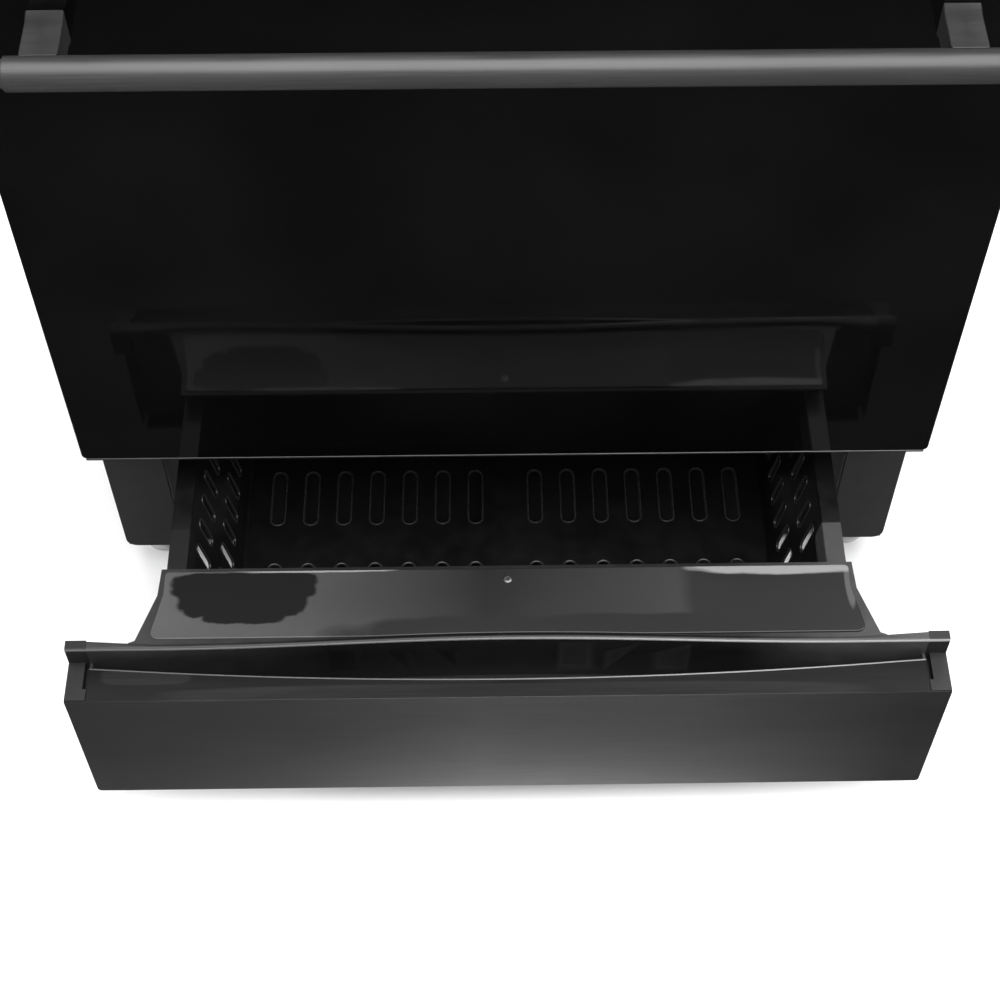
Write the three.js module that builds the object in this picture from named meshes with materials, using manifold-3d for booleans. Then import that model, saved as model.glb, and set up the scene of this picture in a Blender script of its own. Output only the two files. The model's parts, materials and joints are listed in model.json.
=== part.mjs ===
// A 30 inch freestanding gas range, with its storage drawer pulled part way out.
// Millimetres, +Z up. The origin is on the floor, under the middle of the range and its
// open drawer. The front faces -Y.
import * as THREE from 'three';
import { mergeVertices } from 'three/addons/utils/BufferGeometryUtils.js';
import Module from 'manifold-3d';

const wasm = await Module();
wasm.setup();

// ---------------------------------------------------------------- driving dimensions
const GAP = 0.3;                 // between pieces that rest on each other
const SHEET = 1.2;               // pressed steel sheet
const WALL = 1.5;                // heavier sheet of the frames, panels and rails
const FRONT_HALF = 377.5;        // half width of the body, the door and the drawer front
const TOP_HALF = 380;            // half width of the cooktop
const DOOR_THICK = 50;           // from the door's front face to the body's front plane
const BODY_DEPTH = 620;
const DRAWER_OPEN = 219;         // how far the drawer stands out at rest

const DOOR_FRONT = (DRAWER_OPEN - DOOR_THICK - BODY_DEPTH) / 2;
const BODY_FRONT = DOOR_FRONT + DOOR_THICK;
const BODY_BACK = BODY_FRONT + BODY_DEPTH;

// heights above the floor
const DRAWER_BOTTOM = 40;
const BODY_BOTTOM = 43;
const TUB_FLOOR = 55;
const TUB_RIM = 202;
const LEDGE_Z = 207;
const PLATE_Z = 224;
const LIP_Z = 229;
const FRAME_BOTTOM = 244;
const DOOR_BOTTOM = 257;
const DOOR_TOP = 800;
const PANEL_BOTTOM = 806;
const BODY_TOP = 884;
const WELL_Z = 906;
const COOKTOP_Z = 914;
const GUARD_TOP = 985;

// oven cavity, outside of the liner
const LINER = { half: 306, bottom: 284, top: 738, depth: 465, wall: WALL };
const RACK_LEVELS = [400, 470, 540, 610];
const RACK_SHELF = 3;            // thickness of a pressed rack shelf
const OVEN_FLOOR_Z = 335;

// stile: the front return of a side panel, with one rounded lower corner
const STILE_WIDTH = 55.5;
const STILE_CORNER = 10;

// The four screw legs stand this far inside the body's front and back.
const LEG_X = 350;
const LEG_FRONT_Y = BODY_FRONT + 40;
const LEG_REAR_Y = BODY_BACK - 50;

// door hinge line
const HINGE_Y = DOOR_FRONT + 22;
const HINGE_Z = DOOR_BOTTOM + 8;
const HINGE_X = 345;

// controls
const PANEL_FRONT = DOOR_FRONT + 8;
const KNOB_Z = 848;
const KNOB_X = [-300, -185, 0, 185, 300];
const KNOB_NAMES = ['front_left', 'rear_left', 'oven', 'rear_right', 'front_right'];
const STEM_R = 4;
const PIPE_R = 10;
const PIPE_Y = PANEL_FRONT + 60;
const PIPE_Z = 826;
const INLET_X = 345;             // the pipe runs back along the right side

// surface burners: centre and radius of the port ring
const BURNERS = [
  { name: 'front_left', x: -182, y: -62, r: 44 },
  { name: 'rear_left', x: -182, y: 238, r: 36 },
  { name: 'rear_right', x: 182, y: 238, r: 40 },
  { name: 'front_right', x: 182, y: -62, r: 50 },
];

// drawer, in the drawer's own frame: y = 0 at its front face, backwards is +Y
const TUB = { rimHalf: 303, mouthHalf: 285.8, floorHalf: 258.7, front: 51, back: 592 };
const FLOOR_SLOT = { width: 12, length: 63, first: 30, pitch: 33, rear: 570, rowPitch: 111.5 };
const SIDE_SLOT = {
  width: 9,
  pitch: 27.6,
  front: 174.6,
  rows: [{ low: 145, high: 180 }, { low: 84, high: 119 }],
};
const CAP_INNER = 359.8;         // inner side of the two end caps
const LIP_BACK = 47.5;           // rear of the pull's lip
const PULL_WALL = 2.5;           // wall of the moulded pull
const SCREW_Y = 107;             // the screw through the pull into the tub
const SCREW_HOLE_R = 2.6;
const ROLLER_R = 9;
const ROLLER_Z = TUB_RIM - SHEET - GAP - ROLLER_R;
const RAIL_WEB = 319;            // half width between the two channel rails
const FRONT_ROLLER_Y = BODY_FRONT + 14;
const REAR_ROLLER_Y = TUB.back - 14;
const AXLE_R = 2.5;

// ---------------------------------------------------------------- solids
function solidOf(geometry) {
  geometry.deleteAttribute('normal');
  geometry.deleteAttribute('uv');
  const merged = mergeVertices(geometry, 1e-4);
  const mesh = new wasm.Mesh({
    numProp: 3,
    vertProperties: new Float32Array(merged.attributes.position.array),
    triVerts: new Uint32Array(merged.index.array),
  });
  return new wasm.Manifold(mesh);
}

function box(x0, x1, y0, y1, z0, z1) {
  const geometry = new THREE.BoxGeometry(Math.abs(x1 - x0), Math.abs(y1 - y0), Math.abs(z1 - z0));
  geometry.translate((x0 + x1) / 2, (y0 + y1) / 2, (z0 + z1) / 2);
  return solidOf(geometry);
}

// An outline pushed along an axis: 'x' takes (y, z) points, 'y' takes (x, z), 'z' takes (x, y).
function prism(axis, points, from, to) {
  const shape = new THREE.Shape(points.map(([a, b]) => new THREE.Vector2(a, b)));
  const geometry = new THREE.ExtrudeGeometry(shape, { depth: to - from, bevelEnabled: false });
  if (axis === 'x') {
    geometry.applyMatrix4(new THREE.Matrix4().set(0, 0, 1, from, 1, 0, 0, 0, 0, 1, 0, 0, 0, 0, 0, 1));
  } else if (axis === 'y') {
    geometry.rotateX(Math.PI / 2);
    geometry.translate(0, to, 0);
  } else {
    geometry.translate(0, 0, from);
  }
  return solidOf(geometry);
}

function rod(axis, a, b, from, to, radius, segments = 12) {
  const geometry = new THREE.CylinderGeometry(radius, radius, to - from, segments);
  if (axis === 'x') geometry.rotateZ(-Math.PI / 2);
  if (axis === 'z') geometry.rotateX(Math.PI / 2);
  const middle = (from + to) / 2;
  if (axis === 'x') geometry.translate(middle, a, b);
  if (axis === 'y') geometry.translate(a, middle, b);
  if (axis === 'z') geometry.translate(a, b, middle);
  return solidOf(geometry);
}

// A profile of (radius, height) points turned about +Z.
function turned(profile, segments = 20) {
  const geometry = new THREE.LatheGeometry(profile.map(([r, h]) => new THREE.Vector2(r, h)), segments);
  geometry.rotateX(Math.PI / 2);
  return solidOf(geometry);
}

function join(...solids) {
  return solids.reduce((sum, solid) => sum.add(solid));
}

function cut(solid, ...tools) {
  return tools.reduce((rest, tool) => rest.subtract(tool), solid);
}

// Corner points of a rectangle whose bottom corners are rounded.
function roundedBottom(x0, x1, z0, z1, left, right, steps = 4) {
  const points = [[x0, z1]];
  for (let i = 0; left > 0 && i <= steps; i += 1) {
    const angle = Math.PI + (i / steps) * Math.PI / 2;
    points.push([x0 + left + left * Math.cos(angle), z0 + left + left * Math.sin(angle)]);
  }
  if (left === 0) points.push([x0, z0]);
  for (let i = 0; right > 0 && i <= steps; i += 1) {
    const angle = 1.5 * Math.PI + (i / steps) * Math.PI / 2;
    points.push([x1 - right + right * Math.cos(angle), z0 + right + right * Math.sin(angle)]);
  }
  if (right === 0) points.push([x1, z0]);
  points.push([x1, z1]);
  return points;
}

// A slot with round ends, long in its second direction.
function slotOutline(centre, start, end, width, steps = 3) {
  const r = width / 2;
  const points = [];
  for (let i = 0; i <= steps; i += 1) {
    const angle = Math.PI + (i / steps) * Math.PI;
    points.push([centre + r * Math.cos(angle), start + r + r * Math.sin(angle)]);
  }
  for (let i = 0; i <= steps; i += 1) {
    const angle = (i / steps) * Math.PI;
    points.push([centre + r * Math.cos(angle), end - r + r * Math.sin(angle)]);
  }
  return points;
}

// ---------------------------------------------------------------- finishes
function finish(color, roughness, metalness) {
  return { color, roughness, metalness };
}

const BLACK_PAINT = finish(0x2a2b2d, 0.45, 0.4);
const DARK_STEEL = finish(0x4a4b4d, 0.35, 0.8);
const GREY_STEEL = finish(0x8a8c8e, 0.5, 0.8);
const BLACK_GLASS = finish(0x050506, 0.05, 0.0);
const CLEAR_GLASS = finish(0x303438, 0.05, 0.0);
const ENAMEL = finish(0x1c1d20, 0.3, 0.1);
const CAST_IRON = finish(0x161617, 0.75, 0.2);
const ALUMINIUM = finish(0x9c9d9f, 0.4, 0.9);
const BRASS = finish(0xb08d4a, 0.4, 0.9);
const CHROME = finish(0xb8babd, 0.2, 1.0);
const GLOSS_PLASTIC = finish(0x242527, 0.2, 0.0);
const BLACK_PLASTIC = finish(0x1a1a1b, 0.5, 0.0);
const NYLON = finish(0xd8d6cf, 0.5, 0.0);
const SEAL = finish(0x5a5a58, 0.9, 0.0);

const range = new THREE.Group();
const drawer = new THREE.Group();
drawer.position.y = DOOR_FRONT - DRAWER_OPEN;
range.add(drawer);

function place(parent, name, solid, look) {
  const source = solid.getMesh();
  const geometry = new THREE.BufferGeometry();
  geometry.setAttribute('position', new THREE.BufferAttribute(new Float32Array(source.vertProperties), 3));
  geometry.setIndex(new THREE.BufferAttribute(new Uint32Array(source.triVerts), 1));
  geometry.computeVertexNormals();
  const mesh = new THREE.Mesh(geometry, new THREE.MeshStandardMaterial(look));
  mesh.name = name;
  parent.add(mesh);
  return mesh;
}

// Spans measured outwards from the middle, on the left (-1) or the right (+1).
function sideBox(side, near, far, y0, y1, z0, z1) {
  return box(side * near, side * far, y0, y1, z0, z1);
}

// ---------------------------------------------------------------- body
function sidePanel(side) {
  const inner = FRONT_HALF - STILE_WIDTH;
  const skinInner = FRONT_HALF - SHEET;
  const rear = BODY_BACK - SHEET - GAP;
  const skin = sideBox(side, skinInner, FRONT_HALF, BODY_FRONT, rear,
    BODY_BOTTOM + STILE_CORNER, BODY_TOP);
  const skinFoot = sideBox(side, skinInner, FRONT_HALF, BODY_FRONT + STILE_CORNER, rear,
    BODY_BOTTOM, BODY_TOP);
  const corners = side < 0 ? [STILE_CORNER, 0] : [0, STILE_CORNER];
  const edges = side < 0 ? [-FRONT_HALF, -inner, ...corners] : [inner, FRONT_HALF, ...corners];
  const outline = roundedBottom(edges[0], edges[1], BODY_BOTTOM, BODY_TOP, edges[2], edges[3]);
  const stile = prism('y', outline, BODY_FRONT, BODY_FRONT + SHEET);
  const rearReturn = sideBox(side, FRONT_HALF - 20, FRONT_HALF, rear - SHEET, rear,
    BODY_BOTTOM, BODY_TOP);
  const hingeSlot = sideBox(side, HINGE_X - 6, HINGE_X + 6, BODY_FRONT - 5, BODY_FRONT + 5,
    HINGE_Z - 14, HINGE_Z + 14);
  return cut(join(skin, skinFoot, stile, rearReturn), hingeSlot);
}

function backPanel() {
  const sheet = box(-FRONT_HALF, FRONT_HALF, BODY_BACK - SHEET, BODY_BACK, BODY_BOTTOM, BODY_TOP);
  const inletHole = rod('y', INLET_X, PIPE_Z, BODY_BACK - 10, BODY_BACK + 10, 14, 12);
  const vents = [];
  for (let i = 0; i < 9; i += 1) {
    const outline = slotOutline(-160 + i * 40, 780, 830, 8);
    vents.push(prism('y', outline, BODY_BACK - 10, BODY_BACK + 10));
  }
  return cut(sheet, inletHole, ...vents);
}

function frontFrame() {
  const half = FRONT_HALF - STILE_WIDTH - GAP;
  const plate = box(-half, half, BODY_FRONT, BODY_FRONT + WALL, FRAME_BOTTOM, PANEL_BOTTOM - 3);
  const opening = box(-LINER.half - GAP, LINER.half + GAP, BODY_FRONT - 5, BODY_FRONT + 5,
    LINER.bottom - GAP, LINER.top + GAP);
  const lowerReturn = box(-half, half, BODY_FRONT, BODY_FRONT + 14, FRAME_BOTTOM, FRAME_BOTTOM + WALL);
  return cut(join(plate, lowerReturn), opening);
}

const LEG_SPOTS = [
  { name: 'front_left', x: -LEG_X, y: LEG_FRONT_Y },
  { name: 'front_right', x: LEG_X, y: LEG_FRONT_Y },
  { name: 'rear_left', x: -LEG_X, y: LEG_REAR_Y },
  { name: 'rear_right', x: LEG_X, y: LEG_REAR_Y },
];

// Channel rail for the drawer's rear roller, with the axle of the fixed front roller.
function drawerRail(side) {
  const low = ROLLER_Z - ROLLER_R - GAP;
  const high = ROLLER_Z + ROLLER_R + 2;
  const front = BODY_FRONT + 4;
  const back = BODY_BACK - 60;
  const flangeInner = RAIL_WEB - 14.5;
  const web = RAIL_WEB + WALL;
  const axle = [side * 289, side * RAIL_WEB].sort((a, b) => a - b);
  return join(
    sideBox(side, RAIL_WEB, web, front, back, low - WALL, high + WALL),
    sideBox(side, flangeInner, web, front, back, low - WALL, low),
    sideBox(side, flangeInner, web, front, back, high, high + WALL),
    rod('x', FRONT_ROLLER_Y, ROLLER_Z, axle[0], axle[1], AXLE_R, 10),
  );
}

function chassisFrame() {
  const inner = FRONT_HALF - STILE_WIDTH - 1.7;
  const outer = FRONT_HALF - SHEET - GAP;
  const front = BODY_FRONT + SHEET + GAP;
  const back = BODY_BACK - 5;
  const low = BODY_BOTTOM;
  const top = 214;
  const pieces = [];
  for (const side of [-1, 1]) {
    pieces.push(sideBox(side, inner, outer, front, back, low, low + WALL));
    pieces.push(sideBox(side, inner, inner + WALL, front, back, low, top));
    pieces.push(sideBox(side, inner, inner + 22, front, back, top - WALL, top));
    pieces.push(drawerRail(side));
  }
  pieces.push(box(-inner, inner, back - WALL, back, low, 150));
  pieces.push(box(-inner, inner, back - 40, back, low, low + WALL));
  const holes = LEG_SPOTS.map(({ x, y }) => rod('z', x, y, low - 5, low + 5, 5.4));
  return cut(join(...pieces), ...holes);
}

function levellingLeg() {
  return turned([[0, 0], [18, 0], [19, 2], [19, 7], [11, 12], [11, 22], [5, 23], [5, 66], [0, 66]], 12);
}

for (const side of [-1, 1]) {
  place(range, side < 0 ? 'side_panel_left' : 'side_panel_right', sidePanel(side), BLACK_PAINT);
}
place(range, 'back_panel', backPanel(), GREY_STEEL);
place(range, 'front_frame', frontFrame(), BLACK_PAINT);
place(range, 'chassis_frame', chassisFrame(), GREY_STEEL);
for (const { name, x, y } of LEG_SPOTS) {
  place(range, `levelling_leg_${name}`, levellingLeg(), BLACK_PLASTIC).position.set(x, y, 0);
}

// ---------------------------------------------------------------- oven
function ovenLiner() {
  const { half, bottom, top, depth, wall } = LINER;
  const back = BODY_FRONT + depth;
  const shell = cut(
    box(-half, half, BODY_FRONT, back, bottom, top),
    box(-half + wall, half - wall, BODY_FRONT - 5, back - wall, bottom + wall, top - wall),
    box(-60, 60, back - 60, back - 30, top - 10, top + 10),
  );
  const ledges = [];
  for (const side of [-1, 1]) {
    for (const level of [...RACK_LEVELS, OVEN_FLOOR_Z]) {
      ledges.push(sideBox(side, half - 13, half - wall / 2, BODY_FRONT + 30, back - 20,
        level - RACK_SHELF, level));
    }
  }
  return join(shell, ...ledges);
}

function ovenFloorPlate() {
  const half = LINER.half - LINER.wall - 1;
  const front = BODY_FRONT + 28;
  const back = BODY_FRONT + LINER.depth - LINER.wall - 2;
  const plate = box(-half, half, front, back, OVEN_FLOOR_Z + GAP, OVEN_FLOOR_Z + GAP + WALL);
  const slots = [];
  for (const side of [-1, 1]) {
    for (let i = 0; i < 5; i += 1) {
      const y = front + 40 + i * 72;
      slots.push(prism('z', slotOutline(side * 255, y, y + 48, 12), OVEN_FLOOR_Z - 5, OVEN_FLOOR_Z + 9));
    }
  }
  return cut(plate, ...slots);
}

// T shaped tube burner on two stands.
function ovenBurner() {
  const z = 311;
  const r = 11;
  const floor = LINER.bottom + LINER.wall + GAP;
  const head = BODY_FRONT + 60;
  const back = BODY_FRONT + LINER.depth - LINER.wall - 3;
  return join(
    rod('y', 0, z, head, back, r),
    rod('x', head, z, -90, 90, r),
    box(-12, 12, head + 30, head + 33, floor, z),
    box(-12, 12, back - 23, back - 20, floor, z),
  );
}

function ovenRack() {
  const half = 302;
  const depth = 415;
  const bar = 6;
  const wire = 4;
  const pitch = 38;
  const stopTop = 22;            // the raised rear stop
  const pieces = [
    box(-half, half, 0, bar, 0, bar),
    box(-half, half, depth - bar, depth, 0, bar),
    box(-half, -half + bar, 0, depth, 0, bar),
    box(half - bar, half, 0, depth, 0, bar),
    box(-half, half, depth / 2 - bar / 2, depth / 2 + bar / 2, 0, bar),
    box(-half, half, depth - bar, depth, 0, stopTop),
  ];
  for (let i = -7; i <= 7; i += 1) {
    const x = i * pitch;
    pieces.push(box(x - wire / 2, x + wire / 2, bar / 2, depth - bar / 2, bar - 1, bar + 3));
  }
  const window = box(-half + 40, half - 40, depth - bar - 1, depth + 1, bar + 5, stopTop - bar);
  return cut(join(...pieces), window);
}

place(range, 'oven_liner', ovenLiner(), ENAMEL);
place(range, 'oven_floor_plate', ovenFloorPlate(), ENAMEL);
place(range, 'oven_burner', ovenBurner(), GREY_STEEL);
[RACK_LEVELS[0], RACK_LEVELS[2]].forEach((level, i) => {
  const rack = place(range, i === 0 ? 'oven_rack_lower' : 'oven_rack_upper', ovenRack(), CHROME);
  rack.position.set(0, BODY_FRONT + 30, level + GAP);
});

// ---------------------------------------------------------------- oven door
const GLASS_THICK = 5;
const DOOR_BACK = DOOR_FRONT + 40;       // rear face of the door's steel pan
const PLUG_BACK = DOOR_FRONT + 52;       // how far the inner panel's plug reaches
const PANEL_BACK = DOOR_BACK + GAP + 2;  // rear face of the inner panel's flat border

function doorGlass() {
  const corner = 5;
  const shape = new THREE.Shape();
  shape.moveTo(-FRONT_HALF + corner, DOOR_BOTTOM);
  shape.lineTo(FRONT_HALF - corner, DOOR_BOTTOM);
  shape.absarc(FRONT_HALF - corner, DOOR_BOTTOM + corner, corner, -Math.PI / 2, 0);
  shape.absarc(FRONT_HALF - corner, DOOR_TOP - corner, corner, 0, Math.PI / 2);
  shape.absarc(-FRONT_HALF + corner, DOOR_TOP - corner, corner, Math.PI / 2, Math.PI);
  shape.absarc(-FRONT_HALF + corner, DOOR_BOTTOM + corner, corner, Math.PI, 1.5 * Math.PI);
  const outline = shape.getPoints(4).map((p) => [p.x, p.y]);
  outline.pop();
  return prism('y', outline, DOOR_FRONT, DOOR_FRONT + GLASS_THICK);
}

function doorFrame() {
  const half = FRONT_HALF - 4;
  const front = DOOR_FRONT + GLASS_THICK + GAP;
  const bottom = DOOR_BOTTOM - 6;
  const top = DOOR_TOP - 4;
  const pan = box(-half, half, front, DOOR_BACK, bottom, top);
  const hollow = box(-half + WALL, half - WALL, front - 5, DOOR_BACK - WALL, bottom + WALL, top - WALL);
  const window = box(-285, 285, DOOR_BACK - 5, DOOR_BACK + 5, 310, 715);
  const hingeSlots = [-1, 1].map((side) => sideBox(side, HINGE_X - 8, HINGE_X + 8,
    HINGE_Y - 14, DOOR_BACK + 5, bottom - 5, HINGE_Z + 15));
  return cut(pan, hollow, window, ...hingeSlots);
}

function doorInnerPanel() {
  const front = DOOR_BACK + GAP;
  const plate = box(-330, 330, front, PANEL_BACK, 268, 758);
  const plug = box(-294, 294, front, PLUG_BACK, 302, 722);
  const hollow = box(-292, 292, front - 5, PLUG_BACK - WALL, 304, 720);
  const window = box(-210, 210, PLUG_BACK - 5, PLUG_BACK + 5, 420, 640);
  return cut(join(plate, plug), hollow, window);
}

// The seal sits round the oven mouth. Its lower side stays above the arc of the door's lower rear edge.
function doorSeal() {
  const front = PANEL_BACK + GAP;
  const ring = box(-319, 319, front, BODY_FRONT - GAP, 277, 750);
  return cut(ring, box(-310, 310, front - 5, BODY_FRONT + 5, 285, 741));
}

const HANDLE_Y = DOOR_FRONT - 48;
const HANDLE_Z = 752;
const HANDLE_R = 12;

// An arm with a wider foot on the glass, hollowed to take the bar.
function handleBracket(side) {
  const footHalf = 14;
  const armHalf = 11;
  const width = 26;
  const footFront = DOOR_FRONT - 10;
  const profile = [
    [DOOR_FRONT - GAP, HANDLE_Z - footHalf],
    [DOOR_FRONT - GAP, HANDLE_Z + footHalf],
    [footFront, HANDLE_Z + armHalf],
    [HANDLE_Y, HANDLE_Z + armHalf],
    [HANDLE_Y, HANDLE_Z - armHalf],
    [footFront, HANDLE_Z - armHalf],
  ];
  const from = side < 0 ? -322 : 322 - width;
  const arm = prism('x', profile, from, from + width);
  return cut(arm, rod('x', HANDLE_Y, HANDLE_Z, from - 5, from + width + 5, HANDLE_R + GAP, 16));
}

// The hinge's fixed arm reaches out of the body to the hinge line.
function hingeBracket(side) {
  const r = 9;
  const back = BODY_FRONT + 70;
  const profile = [[back, HINGE_Z - r], [back, HINGE_Z + r], [HINGE_Y, HINGE_Z + r]];
  for (let i = 1; i < 8; i += 1) {
    const angle = Math.PI / 2 + (i / 8) * Math.PI;
    profile.push([HINGE_Y + r * Math.cos(angle), HINGE_Z + r * Math.sin(angle)]);
  }
  profile.push([HINGE_Y, HINGE_Z - r]);
  const x = side * HINGE_X;
  const arm = prism('x', profile, x - 2.5, x + 2.5);
  const foot = sideBox(side, HINGE_X - 2.5, FRONT_HALF - SHEET - GAP, back - 30, back,
    HINGE_Z - r, HINGE_Z - r + 3);
  return cut(join(arm, foot), rod('x', HINGE_Y, HINGE_Z, x - 9, x + 9, 3.4));
}

// The hinge's moving half: two cheeks bolted inside the door, with the pin between them.
function doorHinge(side) {
  const x = side * HINGE_X;
  const near = 9;
  const far = 12;
  const top = HINGE_Z + 70;
  const cheeks = [-1, 1].map((s) => box(x + s * near, x + s * far, HINGE_Y - 8, HINGE_Y + 14,
    HINGE_Z - 8, top));
  const web = box(x - far, x + far, HINGE_Y - 10, HINGE_Y - 7, HINGE_Z + 20, top);
  return join(...cheeks, web, rod('x', HINGE_Y, HINGE_Z, x - far, x + far, 3));
}

place(range, 'door_glass', doorGlass(), BLACK_GLASS);
place(range, 'door_frame', doorFrame(), DARK_STEEL);
place(range, 'door_inner_panel', doorInnerPanel(), ENAMEL);
place(range, 'door_inner_glass', box(-225, 225, PLUG_BACK - 5.8, PLUG_BACK - 1.8, 405, 655), CLEAR_GLASS);
place(range, 'door_seal', doorSeal(), SEAL);
place(range, 'door_handle_bar', rod('x', HANDLE_Y, HANDLE_Z, -335, 335, HANDLE_R, 16), DARK_STEEL);
for (const side of [-1, 1]) {
  const hand = side < 0 ? 'left' : 'right';
  place(range, `door_handle_bracket_${hand}`, handleBracket(side), DARK_STEEL);
  place(range, `hinge_bracket_${hand}`, hingeBracket(side), GREY_STEEL);
  place(range, `door_hinge_${hand}`, doorHinge(side), GREY_STEEL);
}

// ---------------------------------------------------------------- storage drawer
// Front edge of the pull's lip: straight at the ends, drawn back in the middle.
function lipFront(x) {
  if (Math.abs(x) >= 300) return 38.5;
  return 38.5 + 7.1 * (Math.cos(Math.PI * x / 300) + 1) / 2;
}

// Rear edge of the ledge: bowed forward in the middle.
function ledgeRear(x) {
  return 32 - 14.4 * Math.max(0, 1 - (x / 355) ** 2);
}

// Points along a curve y = edge(x), from one x to the other.
function along(edge, from, to, shift = 0, steps = 18) {
  const points = [];
  for (let i = 0; i <= steps; i += 1) {
    const x = from + (to - from) * i / steps;
    points.push([x, edge(x) + shift]);
  }
  return points;
}

function drawerTub() {
  const { rimHalf, mouthHalf, floorHalf, front, back } = TUB;
  const slope = (mouthHalf - floorHalf) / (TUB_RIM - TUB_FLOOR);
  const skin = SHEET * 1.01;
  const lower = TUB_FLOOR - SHEET;
  const lowerHalf = floorHalf + skin - slope * SHEET;
  const trough = [
    [-rimHalf, TUB_RIM], [-mouthHalf, TUB_RIM], [-floorHalf, TUB_FLOOR], [floorHalf, TUB_FLOOR],
    [mouthHalf, TUB_RIM], [rimHalf, TUB_RIM], [rimHalf, TUB_RIM - SHEET],
    [mouthHalf + skin - slope * SHEET, TUB_RIM - SHEET], [lowerHalf, lower],
    [-lowerHalf, lower], [-mouthHalf - skin + slope * SHEET, TUB_RIM - SHEET], [-rimHalf, TUB_RIM - SHEET],
  ];
  const wall = [[-mouthHalf, TUB_RIM], [-floorHalf, TUB_FLOOR - 0.5], [floorHalf, TUB_FLOOR - 0.5],
    [mouthHalf, TUB_RIM]];
  const shelfLow = PLATE_Z - 4;
  const shelfHigh = PLATE_Z - PULL_WALL - GAP;
  const tallWall = [[-mouthHalf, shelfLow], [-mouthHalf, TUB_RIM - 0.5], [-floorHalf, TUB_FLOOR - 0.5],
    [floorHalf, TUB_FLOOR - 0.5], [mouthHalf, TUB_RIM - 0.5], [mouthHalf, shelfLow]];
  const shell = join(
    prism('y', trough, front, back),
    prism('y', tallWall, front, front + SHEET),
    prism('y', wall, back - SHEET, back),
    box(-mouthHalf, mouthHalf, front, front + 67, shelfLow, shelfHigh),
    box(-rimHalf, rimHalf, back - 12, back, TUB_RIM - SHEET, TUB_RIM),
    box(-250, 250, SHEET + GAP, front + 1, TUB_FLOOR - SHEET, TUB_FLOOR),
    box(-250, 250, SHEET + GAP, 2 * SHEET + GAP, TUB_FLOOR - SHEET, 150),
    rod('x', REAR_ROLLER_Y, ROLLER_Z, -314, -283, AXLE_R, 10),
    rod('x', REAR_ROLLER_Y, ROLLER_Z, 283, 314, AXLE_R, 10),
  );
  const screwHole = rod('z', 0, SCREW_Y, PLATE_Z - 12, PLATE_Z, SCREW_HOLE_R);
  return cut(shell, ...floorSlots(), ...sideSlots(-1), ...sideSlots(1), screwHole);
}

// Four rows of floor slots, each in two groups of seven.
function floorSlots() {
  const slots = [];
  for (let row = 0; row < 4; row += 1) {
    const rear = FLOOR_SLOT.rear - row * FLOOR_SLOT.rowPitch;
    for (const side of [-1, 1]) {
      for (let i = 0; i < 7; i += 1) {
        const x = side * (FLOOR_SLOT.first + i * FLOOR_SLOT.pitch);
        const outline = slotOutline(x, rear - FLOOR_SLOT.length, rear, FLOOR_SLOT.width);
        slots.push(prism('z', outline, TUB_FLOOR - 5, TUB_FLOOR + 5));
      }
    }
  }
  return slots;
}

// Two staggered rows of upright slots in a sloping side, half a pitch apart.
function sideSlots(side) {
  const slots = [];
  SIDE_SLOT.rows.forEach(({ low, high }, row) => {
    const shift = (side > 0) === (row === 0) ? SIDE_SLOT.pitch / 2 : 0;
    for (let i = 0; i < 13; i += 1) {
      const y = SIDE_SLOT.front + shift + i * SIDE_SLOT.pitch;
      const from = side < 0 ? -TUB.mouthHalf - 5 : TUB.floorHalf - 5;
      const to = side < 0 ? -TUB.floorHalf + 5 : TUB.mouthHalf + 5;
      slots.push(prism('x', slotOutline(y, low, high, SIDE_SLOT.width), from, to));
    }
  });
  return slots;
}

function drawerFrontPanel() {
  const face = prism('y', roundedBottom(-FRONT_HALF, FRONT_HALF, DRAWER_BOTTOM, LEDGE_Z, 4, 4), 0, SHEET);
  const ledgeHalf = CAP_INNER - GAP;
  const ledgeOutline = [[-ledgeHalf, 0.2], ...along(ledgeRear, -ledgeHalf, ledgeHalf), [ledgeHalf, 0.2]];
  const ledge = prism('z', ledgeOutline, LEDGE_Z - SHEET, LEDGE_Z);
  const returns = [-1, 1].map((side) => sideBox(side, FRONT_HALF - SHEET, FRONT_HALF, 0, 20,
    DRAWER_BOTTOM + 4, LEDGE_Z - 13));
  const foot = box(-FRONT_HALF + 4, FRONT_HALF - 4, 0, 20, DRAWER_BOTTOM, DRAWER_BOTTOM + SHEET);
  return join(face, ledge, ...returns, foot);
}

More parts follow.
